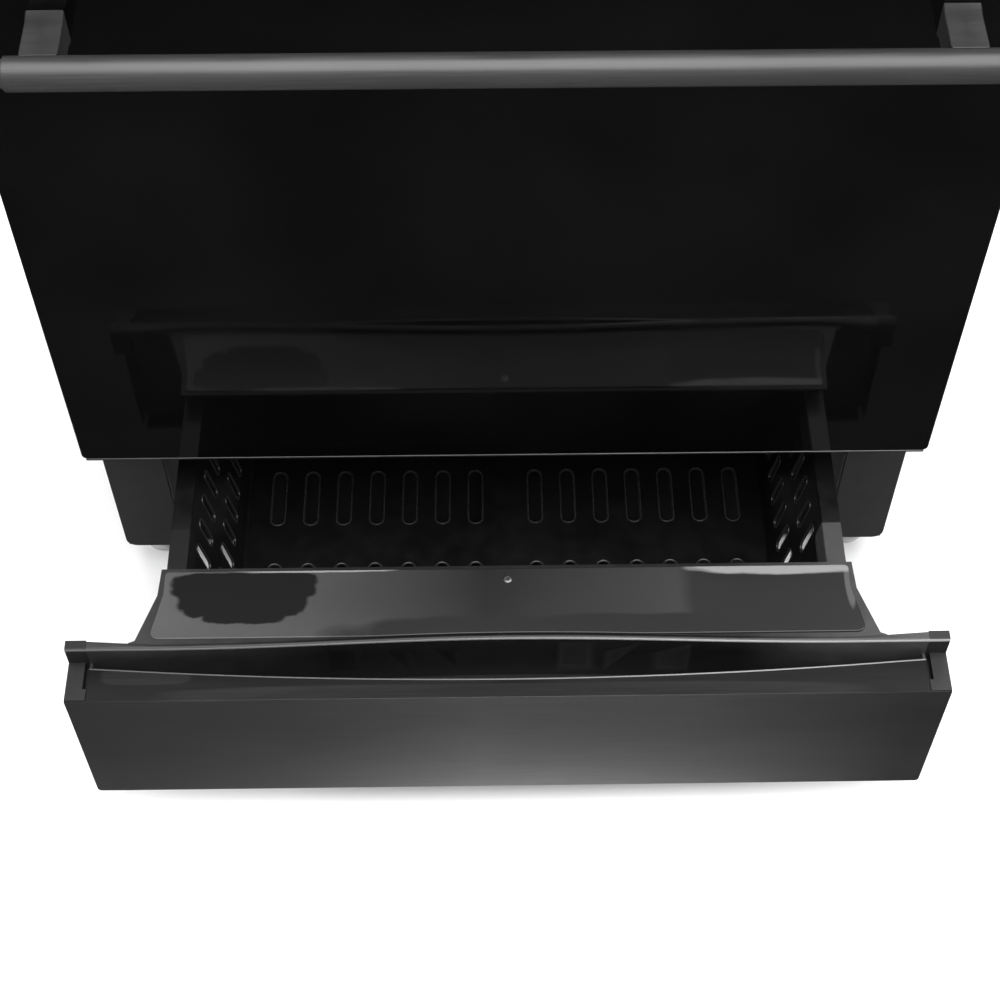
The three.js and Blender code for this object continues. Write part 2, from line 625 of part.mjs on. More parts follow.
// Moulded pull: a glossy plate, a raised lip and the finger pocket in front of it.
function drawerPull() {
  const half = CAP_INNER - GAP;
  const inside = half - PULL_WALL;
  const pocketFloor = 163;
  const flareEnd = 325;
  const plateOutline = [
    [-303, 122], [303, 122], [304.4, 95], [319.6, 49.6], [flareEnd, LIP_BACK],
    ...along(lipFront, flareEnd, -flareEnd, 3), [-flareEnd, LIP_BACK], [-319.6, 49.6], [-304.4, 95],
  ];
  const lipOutline = [...along(lipFront, -half, half), [half, LIP_BACK], ...along(lipFront, 300, -300, 5),
    [-half, LIP_BACK]];
  const wallOutline = [...along(lipFront, -half, half), ...along(lipFront, half, -half, PULL_WALL)];
  const pocketOutline = [...along(ledgeRear, -half, half, -2), ...along(lipFront, half, -half, PULL_WALL)];
  const roomOutline = [...along(ledgeRear, -inside, inside), ...along(lipFront, inside, -inside)];
  const pull = join(
    prism('z', plateOutline, PLATE_Z - PULL_WALL, PLATE_Z),
    prism('z', lipOutline, PLATE_Z - 5, LIP_Z),
    prism('z', wallOutline, pocketFloor, PLATE_Z),
    prism('z', pocketOutline, pocketFloor, LEDGE_Z - SHEET - GAP),
  );
  const room = prism('z', roomOutline, pocketFloor + PULL_WALL, LIP_Z + 5);
  const screwHole = rod('z', 0, SCREW_Y, PLATE_Z - 10, PLATE_Z + 10, SCREW_HOLE_R);
  return cut(pull, room, screwHole);
}

function drawerEndCap(side) {
  const front = SHEET + GAP;
  const bottom = LEDGE_Z - 12;
  const profile = [
    [front, bottom], [LIP_BACK, bottom], [LIP_BACK, LIP_Z], [38.5, LIP_Z], [38.5, LEDGE_Z], [front, LEDGE_Z],
  ];
  const from = side < 0 ? -FRONT_HALF : CAP_INNER;
  return prism('x', profile, from, from + FRONT_HALF - CAP_INNER);
}

function pullScrew() {
  const profile = [[0, 213], [2.2, 214], [2.2, PLATE_Z + GAP], [4.5, PLATE_Z + GAP], [4.2, PLATE_Z + 1.6],
    [2.6, PLATE_Z + 2.4], [0, PLATE_Z + 2.6]];
  return turned(profile, 12);
}

place(drawer, 'drawer_tub', drawerTub(), BLACK_PAINT);
place(drawer, 'drawer_front_panel', drawerFrontPanel(), DARK_STEEL);
place(drawer, 'drawer_pull', drawerPull(), GLOSS_PLASTIC);
place(drawer, 'drawer_end_cap_left', drawerEndCap(-1), BLACK_PLASTIC);
place(drawer, 'drawer_end_cap_right', drawerEndCap(1), BLACK_PLASTIC);
place(drawer, 'pull_screw', pullScrew(), CHROME).position.set(0, SCREW_Y, 0);

function roller() {
  const bore = 2.7;
  return turned([[bore, -4], [ROLLER_R, -4], [ROLLER_R, 4], [bore, 4], [bore, -4]], 16);
}

for (const side of [-1, 1]) {
  const hand = side < 0 ? 'left' : 'right';
  const rear = place(drawer, `rear_roller_${hand}`, roller(), NYLON);
  rear.rotation.y = Math.PI / 2;
  rear.position.set(side * 309.5, REAR_ROLLER_Y, ROLLER_Z);
  const front = place(range, `front_roller_${hand}`, roller(), NYLON);
  front.rotation.y = Math.PI / 2;
  front.position.set(side * 294, FRONT_ROLLER_Y, ROLLER_Z);
}

// ---------------------------------------------------------------- controls and gas line
function controlPanel() {
  const back = BODY_FRONT - GAP;
  const inside = FRONT_HALF - WALL;
  const shell = cut(
    box(-FRONT_HALF, FRONT_HALF, PANEL_FRONT, back, PANEL_BOTTOM, BODY_TOP),
    box(-inside, inside, PANEL_FRONT + WALL, back + 5, PANEL_BOTTOM + WALL, BODY_TOP - WALL),
  );
  return cut(shell, ...KNOB_X.map((x) => rod('y', x, KNOB_Z, PANEL_FRONT - 5, PANEL_FRONT + 5, 6)));
}

function knob() {
  const grip = turned([[0, 0], [25, 0], [25, 4], [21, 8], [19.5, 26], [18, 28], [0, 28]], 20);
  const ridge = box(-3, 3, -18, 18, 20, 31);
  return cut(join(grip, ridge), rod('z', 0, 0, -5, 20.3, STEM_R + GAP, 10));
}

function gasManifold() {
  const pipe = rod('x', PIPE_Y, PIPE_Z, -325, INLET_X, PIPE_R);
  const run = rod('y', INLET_X, PIPE_Z, PIPE_Y, BODY_BACK, PIPE_R);
  const elbow = box(INLET_X - 13, INLET_X + 13, PIPE_Y - 8, PIPE_Y + 18, PIPE_Z - 12, PIPE_Z + 12);
  const valves = KNOB_X.map((x) => cut(
    join(
      rod('y', x, KNOB_Z, PANEL_FRONT + 28, PANEL_FRONT + 66, 13),
      box(x - 11, x + 11, PANEL_FRONT + 46, PANEL_FRONT + 66, PIPE_Z - 4, KNOB_Z),
    ),
    rod('y', x, KNOB_Z, PANEL_FRONT + 20, PANEL_FRONT + 46, STEM_R + GAP, 10),
  ));
  return join(pipe, run, elbow, ...valves);
}

place(range, 'control_panel', controlPanel(), DARK_STEEL);
place(range, 'gas_manifold', gasManifold(), BRASS);
KNOB_X.forEach((x, i) => {
  const stem = rod('y', x, KNOB_Z, PANEL_FRONT - 24, PANEL_FRONT + 40, STEM_R, 10);
  place(range, `valve_stem_${KNOB_NAMES[i]}`, stem, GREY_STEEL);
  const dial = place(range, `knob_${KNOB_NAMES[i]}`, knob(), DARK_STEEL);
  dial.rotation.x = Math.PI / 2;
  dial.position.set(x, PANEL_FRONT - 4, KNOB_Z);
});

// ---------------------------------------------------------------- cooktop
function cooktop() {
  const front = DOOR_FRONT + 4;
  const back = BODY_BACK - 52;
  const low = BODY_TOP + GAP;
  const wellFront = front + 18;
  const wellBack = back - 14;
  const wellHalf = 352;
  const ribHalf = 6;
  const wells = [-1, 1].map((side) => sideBox(side, ribHalf, wellHalf, wellFront, wellBack,
    WELL_Z, COOKTOP_Z + 5));
  const inside = TOP_HALF - WALL;
  const underside = box(-inside, inside, front + WALL, back - WALL, low - 5, COOKTOP_Z - WALL);
  const wellFloors = box(-wellHalf - WALL, wellHalf + WALL, wellFront - WALL, wellBack + WALL,
    WELL_Z - WALL, COOKTOP_Z);
  const holes = BURNERS.map(({ x, y }) => rod('z', x, y, WELL_Z - 10, WELL_Z + 10, 24));
  const block = box(-TOP_HALF, TOP_HALF, front, back, low, COOKTOP_Z);
  return cut(block, underside.subtract(wellFloors), ...wells, ...holes);
}

function burnerBase(r) {
  const z = WELL_Z + GAP;
  return turned([[0, z], [r + 10, z], [r + 10, z + 2], [r, z + 5], [r, z + 15], [0, z + 15]]);
}

function burnerCap(r) {
  const z = WELL_Z + GAP + 15 + GAP;
  return turned([[0, z], [r + 2, z], [r + 4, z + 2], [r + 2, z + 6], [r - 8, z + 8], [0, z + 8]]);
}

function grate(side) {
  const bar = 9;
  const low = 932;
  const high = 944;
  const near = 14;
  const far = 344;
  const front = DOOR_FRONT + 32;
  const back = BODY_BACK - 78;
  const middle = (front + back) / 2;
  const gap = 26;                // from a burner's centre to the tips of the four fingers
  const pieces = [
    sideBox(side, near, near + bar, front, back, low, high),
    sideBox(side, far - bar, far, front, back, low, high),
    sideBox(side, near, far, front, front + bar, low, high),
    sideBox(side, near, far, back - bar, back, low, high),
    sideBox(side, near, far, middle - bar / 2, middle + bar / 2, low, high),
  ];
  for (const { x, y } of BURNERS.filter((burner) => burner.x * side > 0)) {
    const centre = Math.abs(x);
    const ends = y < middle ? [front, middle] : [middle, back];
    pieces.push(sideBox(side, near, centre - gap, y - bar / 2, y + bar / 2, low, high));
    pieces.push(sideBox(side, centre + gap, far, y - bar / 2, y + bar / 2, low, high));
    pieces.push(sideBox(side, centre - bar / 2, centre + bar / 2, ends[0], y - gap, low, high));
    pieces.push(sideBox(side, centre - bar / 2, centre + bar / 2, y + gap, ends[1], low, high));
  }
  for (const y of [front, middle - bar / 2, back - bar]) {
    pieces.push(sideBox(side, near, near + bar, y, y + bar, WELL_Z + GAP, low + 2));
    pieces.push(sideBox(side, far - bar, far, y, y + bar, WELL_Z + GAP, low + 2));
  }
  return join(...pieces);
}

function backguard() {
  const front = BODY_BACK - 52 + GAP;
  const low = BODY_TOP + GAP;
  const profile = [[front, low], [BODY_BACK, low], [BODY_BACK, GUARD_TOP], [front + 14, GUARD_TOP],
    [front, GUARD_TOP - 22]];
  const hollow = [[front + WALL, low - 5], [BODY_BACK - WALL, low - 5], [BODY_BACK - WALL, GUARD_TOP - WALL],
    [front + 14.6, GUARD_TOP - WALL], [front + WALL, GUARD_TOP - 22.6]];
  const vents = [];
  for (let i = 0; i < 10; i += 1) {
    const x = -171 + i * 38;
    vents.push(box(x - 13, x + 13, front - 5, front + 5, 932, 938));
  }
  const block = prism('x', profile, -TOP_HALF, TOP_HALF);
  return cut(block, prism('x', hollow, -TOP_HALF + WALL, TOP_HALF - WALL), ...vents);
}

place(range, 'cooktop', cooktop(), ENAMEL);
place(range, 'backguard', backguard(), DARK_STEEL);
for (const { name, x, y, r } of BURNERS) {
  place(range, `burner_base_${name}`, burnerBase(r), ALUMINIUM).position.set(x, y, 0);
  place(range, `burner_cap_${name}`, burnerCap(r), CAST_IRON).position.set(x, y, 0);
}
place(range, 'grate_left', grate(-1), CAST_IRON);
place(range, 'grate_right', grate(1), CAST_IRON);

export default range;
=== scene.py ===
"""Looks of a freestanding gas range with its storage drawer pulled part way out.

Metres, +Z up, the front faces -Y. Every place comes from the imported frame's boxes.
"""

import json
from math import cos, pi, radians, sin

import bpy
from mathutils import Matrix, Vector

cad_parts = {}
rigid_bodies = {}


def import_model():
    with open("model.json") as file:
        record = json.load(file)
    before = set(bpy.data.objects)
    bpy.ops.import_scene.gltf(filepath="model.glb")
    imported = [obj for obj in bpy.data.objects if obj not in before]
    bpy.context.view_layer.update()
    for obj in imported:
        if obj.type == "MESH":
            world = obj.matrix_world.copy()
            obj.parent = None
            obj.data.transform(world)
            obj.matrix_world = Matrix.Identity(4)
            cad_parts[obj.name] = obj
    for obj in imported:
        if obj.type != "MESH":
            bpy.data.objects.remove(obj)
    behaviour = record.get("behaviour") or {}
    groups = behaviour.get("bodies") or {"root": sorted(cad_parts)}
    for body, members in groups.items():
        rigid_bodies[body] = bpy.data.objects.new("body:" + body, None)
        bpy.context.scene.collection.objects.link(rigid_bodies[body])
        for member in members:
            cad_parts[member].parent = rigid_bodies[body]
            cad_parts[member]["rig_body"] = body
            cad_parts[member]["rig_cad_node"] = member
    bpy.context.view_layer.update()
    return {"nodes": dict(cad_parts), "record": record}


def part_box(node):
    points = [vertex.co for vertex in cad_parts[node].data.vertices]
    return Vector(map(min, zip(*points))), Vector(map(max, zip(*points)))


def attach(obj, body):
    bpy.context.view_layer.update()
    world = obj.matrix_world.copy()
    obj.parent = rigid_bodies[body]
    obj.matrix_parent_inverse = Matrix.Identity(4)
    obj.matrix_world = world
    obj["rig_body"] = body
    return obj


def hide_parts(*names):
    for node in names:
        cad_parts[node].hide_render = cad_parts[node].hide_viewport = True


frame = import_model()

SIDES = {"left": -1, "right": 1}
CORNERS = ("front_left", "front_right", "rear_left", "rear_right")
VALVES = ("front_left", "rear_left", "oven", "rear_right", "front_right")


def drawer_face():
    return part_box("drawer_front_panel")[0].y


# ---------------------------------------------------------------- camera, light and floor
def add_camera():
    """A camera above and in front of the drawer, placed from the lower edge of the door's face."""
    low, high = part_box("door_glass")
    edge = Vector(((low.x + high.x) / 2, low.y, low.z))
    pitch, yaw, roll = radians(54.95), radians(1.096), radians(0.274)
    ahead = Vector((sin(yaw), cos(yaw), 0))
    across = Vector((cos(yaw), -sin(yaw), 0))
    forward = ahead * cos(pitch) - Vector((0, 0, sin(pitch)))
    upward = ahead * sin(pitch) + Vector((0, 0, cos(pitch)))
    right = across * cos(roll) + upward * sin(roll)
    top = upward * cos(roll) - across * sin(roll)
    data = bpy.data.cameras.new("camera")
    data.sensor_width = 36
    data.lens = 67.94
    data.shift_x = -0.0161
    camera = bpy.data.objects.new("camera", data)
    turn = Matrix((right, top, -forward)).transposed()
    stand = edge + Vector((-0.00987, -1.00194, 1.35741))
    camera.matrix_world = Matrix.Translation(stand) @ turn.to_4x4()
    bpy.context.scene.collection.objects.link(camera)
    bpy.context.scene.camera = camera


def add_lamp(name, place, target, size, watts, mirrored):
    """A soft lamp at a place, turned to its target, that mirrors may show or not."""
    data = bpy.data.lights.new(name, "AREA")
    data.shape = "RECTANGLE"
    data.size, data.size_y = size
    data.energy = watts
    lamp = bpy.data.objects.new(name, data)
    aim = Vector(target) - Vector(place)
    lamp.rotation_euler = aim.to_track_quat("-Z", "Y").to_euler()
    lamp.location = place
    lamp.visible_camera = False
    lamp.visible_glossy = mirrored
    bpy.context.scene.collection.objects.link(lamp)


def add_surroundings():
    """White to the camera. What the piece mirrors is a dim room that gets lighter overhead."""
    world = bpy.data.worlds.new("studio")
    world.use_nodes = True
    bpy.context.scene.world = world
    tree = world.node_tree
    tree.nodes.clear()
    place = add(tree, "TexCoord")
    split = add(tree, "SeparateXYZ", {"Vector": place.outputs["Generated"]})
    height = add(tree, "MapRange", {"Value": split.outputs["Z"], "From Min": -1.0, "From Max": 1.0})
    room = ramp(tree, height.outputs["Result"], (0.0, 0.05), (0.45, 0.09), (0.6, 0.3), (1.0, 0.5))
    rays = add(tree, "LightPath")
    seen = add(tree, "Background", {"Color": (1, 1, 1, 1), "Strength": 1.0})
    lit = add(tree, "Background", {"Color": room, "Strength": 1.0})
    mixed = add(tree, "MixShader", {0: rays.outputs["Is Camera Ray"], 1: lit.outputs[0], 2: seen.outputs[0]})
    add(tree, "OutputWorld", {"Surface": mixed.outputs[0]})


def add_floor():
    """A pale plain floor, left out of the mirror-like reflections as a studio sweep is."""
    deselect()
    bpy.ops.mesh.primitive_plane_add(size=16, location=(0, 0, 0))
    floor = bpy.context.object
    floor.name = "floor"
    floor.data.materials.append(pale_floor())
    floor.visible_glossy = False


# ---------------------------------------------------------------- material helpers
# short names of the nodes whose own names differ from them
NODE_KINDS = {"Noise": "TexNoise", "Cells": "TexVoronoi", "Wave": "TexWave", "Ramp": "ValToRGB",
              "Geometry": "NewGeometry"}


def add(tree, kind, inputs=None, **settings):
    """A node of this kind. Its inputs are numbers, colours or another node's output."""
    made = tree.nodes.new("ShaderNode" + NODE_KINDS.get(kind, kind))
    for name, value in settings.items():
        setattr(made, name, value)
    for name, value in (inputs or {}).items():
        if isinstance(value, bpy.types.NodeSocket):
            tree.links.new(value, made.inputs[name])
        else:
            made.inputs[name].default_value = value
    return made


def grey(value):
    return (value, value, value, 1)


def ramp(tree, value, *stops):
    """A colour ramp. Each stop is a place with a grey or a colour."""
    made = add(tree, "Ramp", {"Fac": value})
    band = made.color_ramp
    while len(band.elements) < len(stops):
        band.elements.new(1.0)
    for element, (place, colour) in zip(band.elements, stops):
        element.position = place
        element.color = colour if isinstance(colour, tuple) else grey(colour)
    return made.outputs["Color"]


def mapped(tree, stretch=(1, 1, 1), shift=(0, 0, 0), turn=(0, 0, 0)):
    """Object coordinates, scaled, shifted or turned."""
    place = add(tree, "TexCoord")
    inputs = {"Vector": place.outputs["Object"], "Scale": stretch, "Location": shift, "Rotation": turn}
    return add(tree, "Mapping", inputs).outputs["Vector"]


def grain(tree, scale, detail=4.0, stretch=(1, 1, 1)):
    """Noise from 0 to 1. A small stretch number draws it out along that axis."""
    inputs = {"Vector": mapped(tree, stretch), "Scale": scale, "Detail": detail, "Roughness": 0.55}
    return add(tree, "Noise", inputs).outputs["Fac"]


def between(tree, value, low, high, start=0.3, end=0.7):
    """Spreads a noise value over a range of numbers."""
    inputs = {"Value": value, "From Min": start, "From Max": end, "To Min": low, "To Max": high}
    return add(tree, "MapRange", inputs).outputs["Result"]


def clouded(tree, scale, dark, pale):
    """A tone that drifts between two greys or colours."""
    return ramp(tree, grain(tree, scale), (0.3, dark), (0.7, pale))


def calc(tree, operation, *values):
    """The result of one sum on numbers or outputs."""
    return add(tree, "Math", dict(enumerate(values)), operation=operation).outputs[0]


def scaled(tree, colour, amount):
    """A colour times a number."""
    return add(tree, "VectorMath", {0: colour, "Scale": amount}, operation="SCALE").outputs[0]


def along(tree, axis, start, end):
    """0 to 1 between two places on an axis."""
    place = add(tree, "SeparateXYZ", {"Vector": mapped(tree)}).outputs[axis]
    return add(tree, "MapRange", {"Value": place, "From Min": start, "From Max": end}).outputs["Result"]


def blended(tree, amount, first, second):
    """The first colour where amount is 0, and the second where it is 1."""
    return add(tree, "Mix", {0: amount, 6: first, 7: second}, data_type="RGBA").outputs[2]


def finish(name, **values):
    """A new material: its name, its node tree and its shader, with plain values on the shader's sockets."""
    made = bpy.data.materials.new(name)
    made.use_nodes = True
    tree = made.node_tree
    shader = next(n for n in tree.nodes if n.type == "BSDF_PRINCIPLED")
    for key, value in values.items():
        shader.inputs[key.replace("_", " ")].default_value = value
    return made, tree, shader


def colour_from(tree, shader, value):
    tree.links.new(value, shader.inputs["Base Color"])


def roughness_from(tree, shader, value):
    tree.links.new(value, shader.inputs["Roughness"])


def cloudy_gloss(tree, shader, scale, low, high):
    """Roughness that drifts between two values."""
    roughness_from(tree, shader, between(tree, grain(tree, scale), low, high))


def relief(tree, shader, height, depth, strength=1.0):
    """Bump of a real depth in metres. Reliefs added one after another build on each other."""
    inputs = {"Height": height, "Distance": depth, "Strength": strength}
    socket = shader.inputs["Normal"]
    if socket.is_linked:
        inputs["Normal"] = socket.links[0].from_socket
    made = add(tree, "Bump", inputs)
    tree.links.new(made.outputs["Normal"], socket)


# ---------------------------------------------------------------- finishes
def pale_floor():
    """White board that glows towards its far edges, so that it runs into the background.

    The part that the body always covers is painted dark: painted shade under the body.
    """
    made, tree, shader = finish("pale_floor", Roughness=0.8)
    # painted shade: the floor under the body is made dark
    shade_under_body = either(tree, [oval(tree, (0.0, 0.11), (0.27, 0.31), 0.0, 12.0),
                            oval(tree, (0.0, 0.14), (0.33, 0.285), 0.0, 24.0)])
    board = clouded(tree, 3.0, 0.86, 0.9)
    colour_from(tree, shader, blended(tree, shade_under_body, board, grey(0.012)))
    distance = add(tree, "VectorMath", {0: mapped(tree)}, operation="LENGTH").outputs["Value"]
    glow = add(tree, "MapRange", {"Value": distance, "From Min": 0.4, "From Max": 1.4})
    shader.inputs["Emission Color"].default_value = grey(1.0)
    tree.links.new(glow.outputs["Result"], shader.inputs["Emission Strength"])
    return made


def black_glass():
    """Door glass: near black, mirror smooth, with a faint wiped film."""
    made, tree, shader = finish("black_glass", IOR=1.45, Specular_IOR_Level=0.5)
    colour_from(tree, shader, ramp(tree, grain(tree, 6.0), (0.35, 0.0012), (0.7, 0.0028)))
    film = grain(tree, 9.0, stretch=(1.0, 1.0, 0.35))
    roughness_from(tree, shader, between(tree, film, 0.02, 0.075))
    relief(tree, shader, grain(tree, 2.2, detail=1.0), 0.0001)
    return made


def brushed_steel(name, tone, rough=0.36):
    """Dark steel with fine strokes along X, slightly uneven in tone."""
    made, tree, shader = finish(name, Metallic=0.7, Anisotropic=0.45)
    strokes = grain(tree, 1400.0, detail=3.0, stretch=(0.012, 1.0, 1.0))
    broad = grain(tree, 5.0, detail=3.0, stretch=(0.5, 1.0, 1.6))
    halved = calc(tree, "MULTIPLY", calc(tree, "ADD", strokes, broad), 0.5)
    steel = ramp(tree, halved, (0.3, tone * 0.72), (0.5, tone), (0.7, tone * 1.3))
    colour_from(tree, shader, steel)
    roughness_from(tree, shader, between(tree, strokes, rough - 0.05, rough + 0.09))
    relief(tree, shader, strokes, 0.00002, 0.5)
    return made, tree, shader, steel


def drawer_steel_painted_light():
    """Drawer front's steel: a painted glow low down in the middle, painted shade along the rear of the ledge.
    """
    made, tree, shader, steel = brushed_steel("drawer_steel_painted_light", 0.064)
    low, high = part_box("drawer_front_panel")
    # painted glow: the face is made paler low down in the middle
    middle = ramp(tree, along(tree, "X", low.x, high.x),
                  (0.03, 0.14), (0.25, 0.42), (0.47, 1.0), (0.7, 0.76), (0.97, 0.0))
    low_down = calc(tree, "POWER", along(tree, "Z", high.z, low.z), 2.6)
    across = between(tree, middle, 0.82, 2.0, 0.0, 1.0)
    reach = between(tree, middle, 0.4, 2.5, 0.0, 1.0)
    paler = calc(tree, "MULTIPLY", across, calc(tree, "MULTIPLY_ADD", low_down, reach, 1.0))
    # painted shade on faces that look up (the ledge's top), with painted highlights along its front and near
    # its left end
    normal = add(tree, "SeparateXYZ", {"Vector": add(tree, "Geometry").outputs["Normal"]})
    upward = between(tree, normal.outputs["Z"], 0.0, 1.0, 0.6, 0.95)
    lit = either(tree, [oval(tree, (0.005, low.y + 0.002), (0.295, 0.0115), 0.0, 4.0),
                        oval(tree, (-0.31, low.y + 0.0245), (0.038, 0.0085), 0.0, 4.0)])
    ledge = between(tree, lit, 0.24, 0.46, 0.0, 1.0)
    amount = add(tree, "Mix", {0: upward, 2: paler, 3: ledge}, data_type="FLOAT").outputs[0]
    colour_from(tree, shader, scaled(tree, steel, amount))
    return made


def rolled_edge_highlight():
    """Rounded edges beside the finger pocket, their pale tone a painted highlight that grows paler to the
    right.
    """
    made, tree, shader = finish("rolled_edge_highlight", Metallic=0.3)
    low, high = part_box("drawer_front_panel")
    # painted highlight: a pale tone that grows paler to the right
    edge_highlight = ramp(tree, along(tree, "X", low.x, high.x),
                  (0.0, 0.075), (0.4, 0.11), (0.62, 0.2), (0.8, 0.26), (1.0, 0.2))
    colour_from(tree, shader, edge_highlight)
    roughness_from(tree, shader, between(tree, grain(tree, 90.0, stretch=(0.1, 1, 1)), 0.3, 0.45))
    return made


def satin_paint(name, tone):
    """Baked black paint on sheet steel: fine orange peel and a faint cloudy tone."""
    made, tree, shader = finish(name, Coat_Weight=0.15, Coat_Roughness=0.25)
    colour_from(tree, shader, clouded(tree, 14.0, tone * 0.9, tone * 1.12))
    cloudy_gloss(tree, shader, 45.0, 0.36, 0.5)
    relief(tree, shader, grain(tree, 520.0, detail=2.0), 0.00004, 0.6)
    return made


def gloss_plastic():
    """Moulded pull: near black with a deep gloss, and painted light that makes it paler towards both ends."""
    made, tree, shader = finish("gloss_plastic", Coat_Weight=0.15, Coat_Roughness=0.3)
    # painted light: paler towards both ends of the pull, most at the right
    end_light = ramp(tree, along(tree, "X", -0.35, 0.35),
                   (0.05, 0.024), (0.28, 0.006), (0.78, 0.006), (0.9, 0.04))
    cloud = between(tree, grain(tree, 45.0, detail=3.0), 0.8, 1.25)
    colour_from(tree, shader, scaled(tree, end_light, cloud))
    cloudy_gloss(tree, shader, 60.0, 0.32, 0.42)
    relief(tree, shader, grain(tree, 300.0, detail=2.0), 0.00002, 0.4)
    return made


def oval(tree, centre, radius, uneven, power=6.0):
    """1 inside a blocky oval with an uneven rim, seen from above, and 0 outside."""
    at = mapped(tree, [1 / r for r in radius] + [1], [-c / r for c, r in zip(centre, radius)] + [0])
    split = add(tree, "SeparateXYZ", {"Vector": at})
    total = uneven
    for axis in ("X", "Y"):
        size = calc(tree, "ABSOLUTE", split.outputs[axis])
        total = calc(tree, "ADD", total, calc(tree, "POWER", size, power))
    inputs = {"Value": total, "From Min": 0.75, "From Max": 1.25, "To Min": 1.0, "To Max": 0.0}
    return add(tree, "MapRange", inputs).outputs["Result"]


def either(tree, masks):
    """The greatest of several masks."""
    most = masks[0]
    for mask in masks[1:]:
        most = calc(tree, "MAXIMUM", most, mask)
    return most


def hazed_plate():
    """The pull's flat top: gloss under a dull hazy film, partly real and partly painted reflection.

    A ragged dark clear patch is left in the film near its left end, as painted reflection. The film's
    painted tone is palest at the left. Painted highlights run in a band along the rear edge and round
    the end at the right, and painted shade lies along the front beside the lip.
    """
    made, tree, shader = finish("hazed_plate", Coat_Weight=0.3, Coat_Roughness=0.08)
    face, rear = drawer_face(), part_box("drawer_pull")[1].y
    ragged = between(tree, grain(tree, 42.0, detail=3.0), -0.6, 0.6, 0.25, 0.75)
    soft = between(tree, grain(tree, 30.0, detail=2.0), -0.3, 0.3, 0.25, 0.75)
    # painted reflection: a ragged dark patch near the left end, also glossier
    clear = either(tree, [oval(tree, centre, radius, ragged) for centre, radius in (
        ((-0.229, face + 0.1025), (0.062, 0.0135)),
        ((-0.230, face + 0.0915), (0.057, 0.0205)),
        ((-0.228, face + 0.0850), (0.037, 0.0205)))])
    # painted highlights: pale bands along the rear edge
    pale = either(tree, [oval(tree, centre, radius, soft, power) for centre, radius, power in (
        ((0.240, rear), (0.085, 0.0125), 3.0),
        ((-0.17, rear), (0.075, 0.0060), 4.0))])
    # painted highlight round the right end
    end = oval(tree, (0.2985, face + 0.1), (0.0042, 0.026), 0.0, 2.0)
    # tone of the hazy film along X: real film with painted reflection on it
    haze_and_reflection = ramp(tree, along(tree, "X", -0.31, 0.31),
                (0.0, 0.072), (0.22, 0.055), (0.34, 0.035), (0.47, 0.011),
                (0.62, 0.024), (0.74, 0.032), (0.76, 0.015), (1.0, 0.014))
    cloud = between(tree, grain(tree, 10.0, stretch=(1, 1.6, 1)), 0.78, 0.98)
    haze_and_reflection = scaled(tree, haze_and_reflection, cloud)
    # painted shade along the front, beside the lip
    lip_shade = oval(tree, (0.09, face + 0.046), (0.24, 0.024), soft, 4.0)
    haze_and_reflection = blended(tree, lip_shade, haze_and_reflection, grey(0.012))
    colour = blended(tree, clear, haze_and_reflection, grey(0.004))
    colour = blended(tree, end, colour, grey(0.075))
    colour_from(tree, shader, blended(tree, pale, colour, grey(0.23)))
    roughness_from(tree, shader, between(tree, clear, 0.34, 0.14, 0.0, 1.0))
    relief(tree, shader, grain(tree, 300.0, detail=2.0), 0.00002, 0.4)
    return made


def tub_enamel():
    """Dark baked coat inside the drawer, with painted light on the front ends of the flanges."""
    made, tree, shader = finish("tub_enamel", Coat_Weight=0.2, Coat_Roughness=0.2)
    coat = clouded(tree, 18.0, 0.003, 0.006)
    face = drawer_face()
    # painted light: the flanges' front ends, out of the door's shade, brightest on the right
    left = oval(tree, (-0.294, face + 0.145), (0.012, 0.034), 0.0, 12.0)
    right = oval(tree, (0.295, face + 0.145), (0.013, 0.034), 0.0, 12.0)
    coat = blended(tree, left, coat, grey(0.009))
    colour_from(tree, shader, blended(tree, right, coat, grey(0.05)))
    cloudy_gloss(tree, shader, 60.0, 0.28, 0.45)
    relief(tree, shader, grain(tree, 420.0, detail=2.0), 0.00004, 0.5)
    return made


def matt_plastic(name, tone, rough=0.5):
    """Moulded plastic with a fine spark-eroded texture."""
    made, tree, shader = finish(name)
    colour_from(tree, shader, clouded(tree, 30.0, tone * 0.8, tone * 1.2))
    cloudy_gloss(tree, shader, 90.0, rough - 0.07, rough + 0.07)
    relief(tree, shader, grain(tree, 1500.0, detail=2.0), 0.00003, 0.6)
    return made


def cast_iron():
    """Enamelled cast iron: sandy skin, worn paler on high spots."""
    made, tree, shader = finish("cast_iron", Metallic=0.15)
    sand = grain(tree, 650.0, detail=5.0)
    colour_from(tree, shader, ramp(tree, sand, (0.35, 0.011), (0.6, 0.022), (0.75, 0.05)))
    cloudy_gloss(tree, shader, 40.0, 0.55, 0.78)
    relief(tree, shader, sand, 0.0002, 0.8)
    return made


def speckled_enamel(name, tone):
    """Fired vitreous enamel: deep gloss with small pale specks and a slow ripple."""
    made, tree, shader = finish(name, Coat_Weight=0.6, Coat_Roughness=0.05)
    inputs = {"Vector": mapped(tree), "Scale": 420.0, "Randomness": 1.0}
    cells = add(tree, "Cells", inputs)
    specks = ramp(tree, cells.outputs["Distance"], (0.0, 0.35), (0.16, 0.12), (0.2, tone))
    keep = ramp(tree, grain(tree, 160.0), (0.56, 0.0), (0.6, 1.0))
    plain = clouded(tree, 12.0, tone * 0.8, tone * 1.2)
    colour_from(tree, shader, blended(tree, keep, plain, specks))
    cloudy_gloss(tree, shader, 25.0, 0.12, 0.26)
    relief(tree, shader, grain(tree, 38.0, detail=1.0), 0.0002, 0.5)
    return made


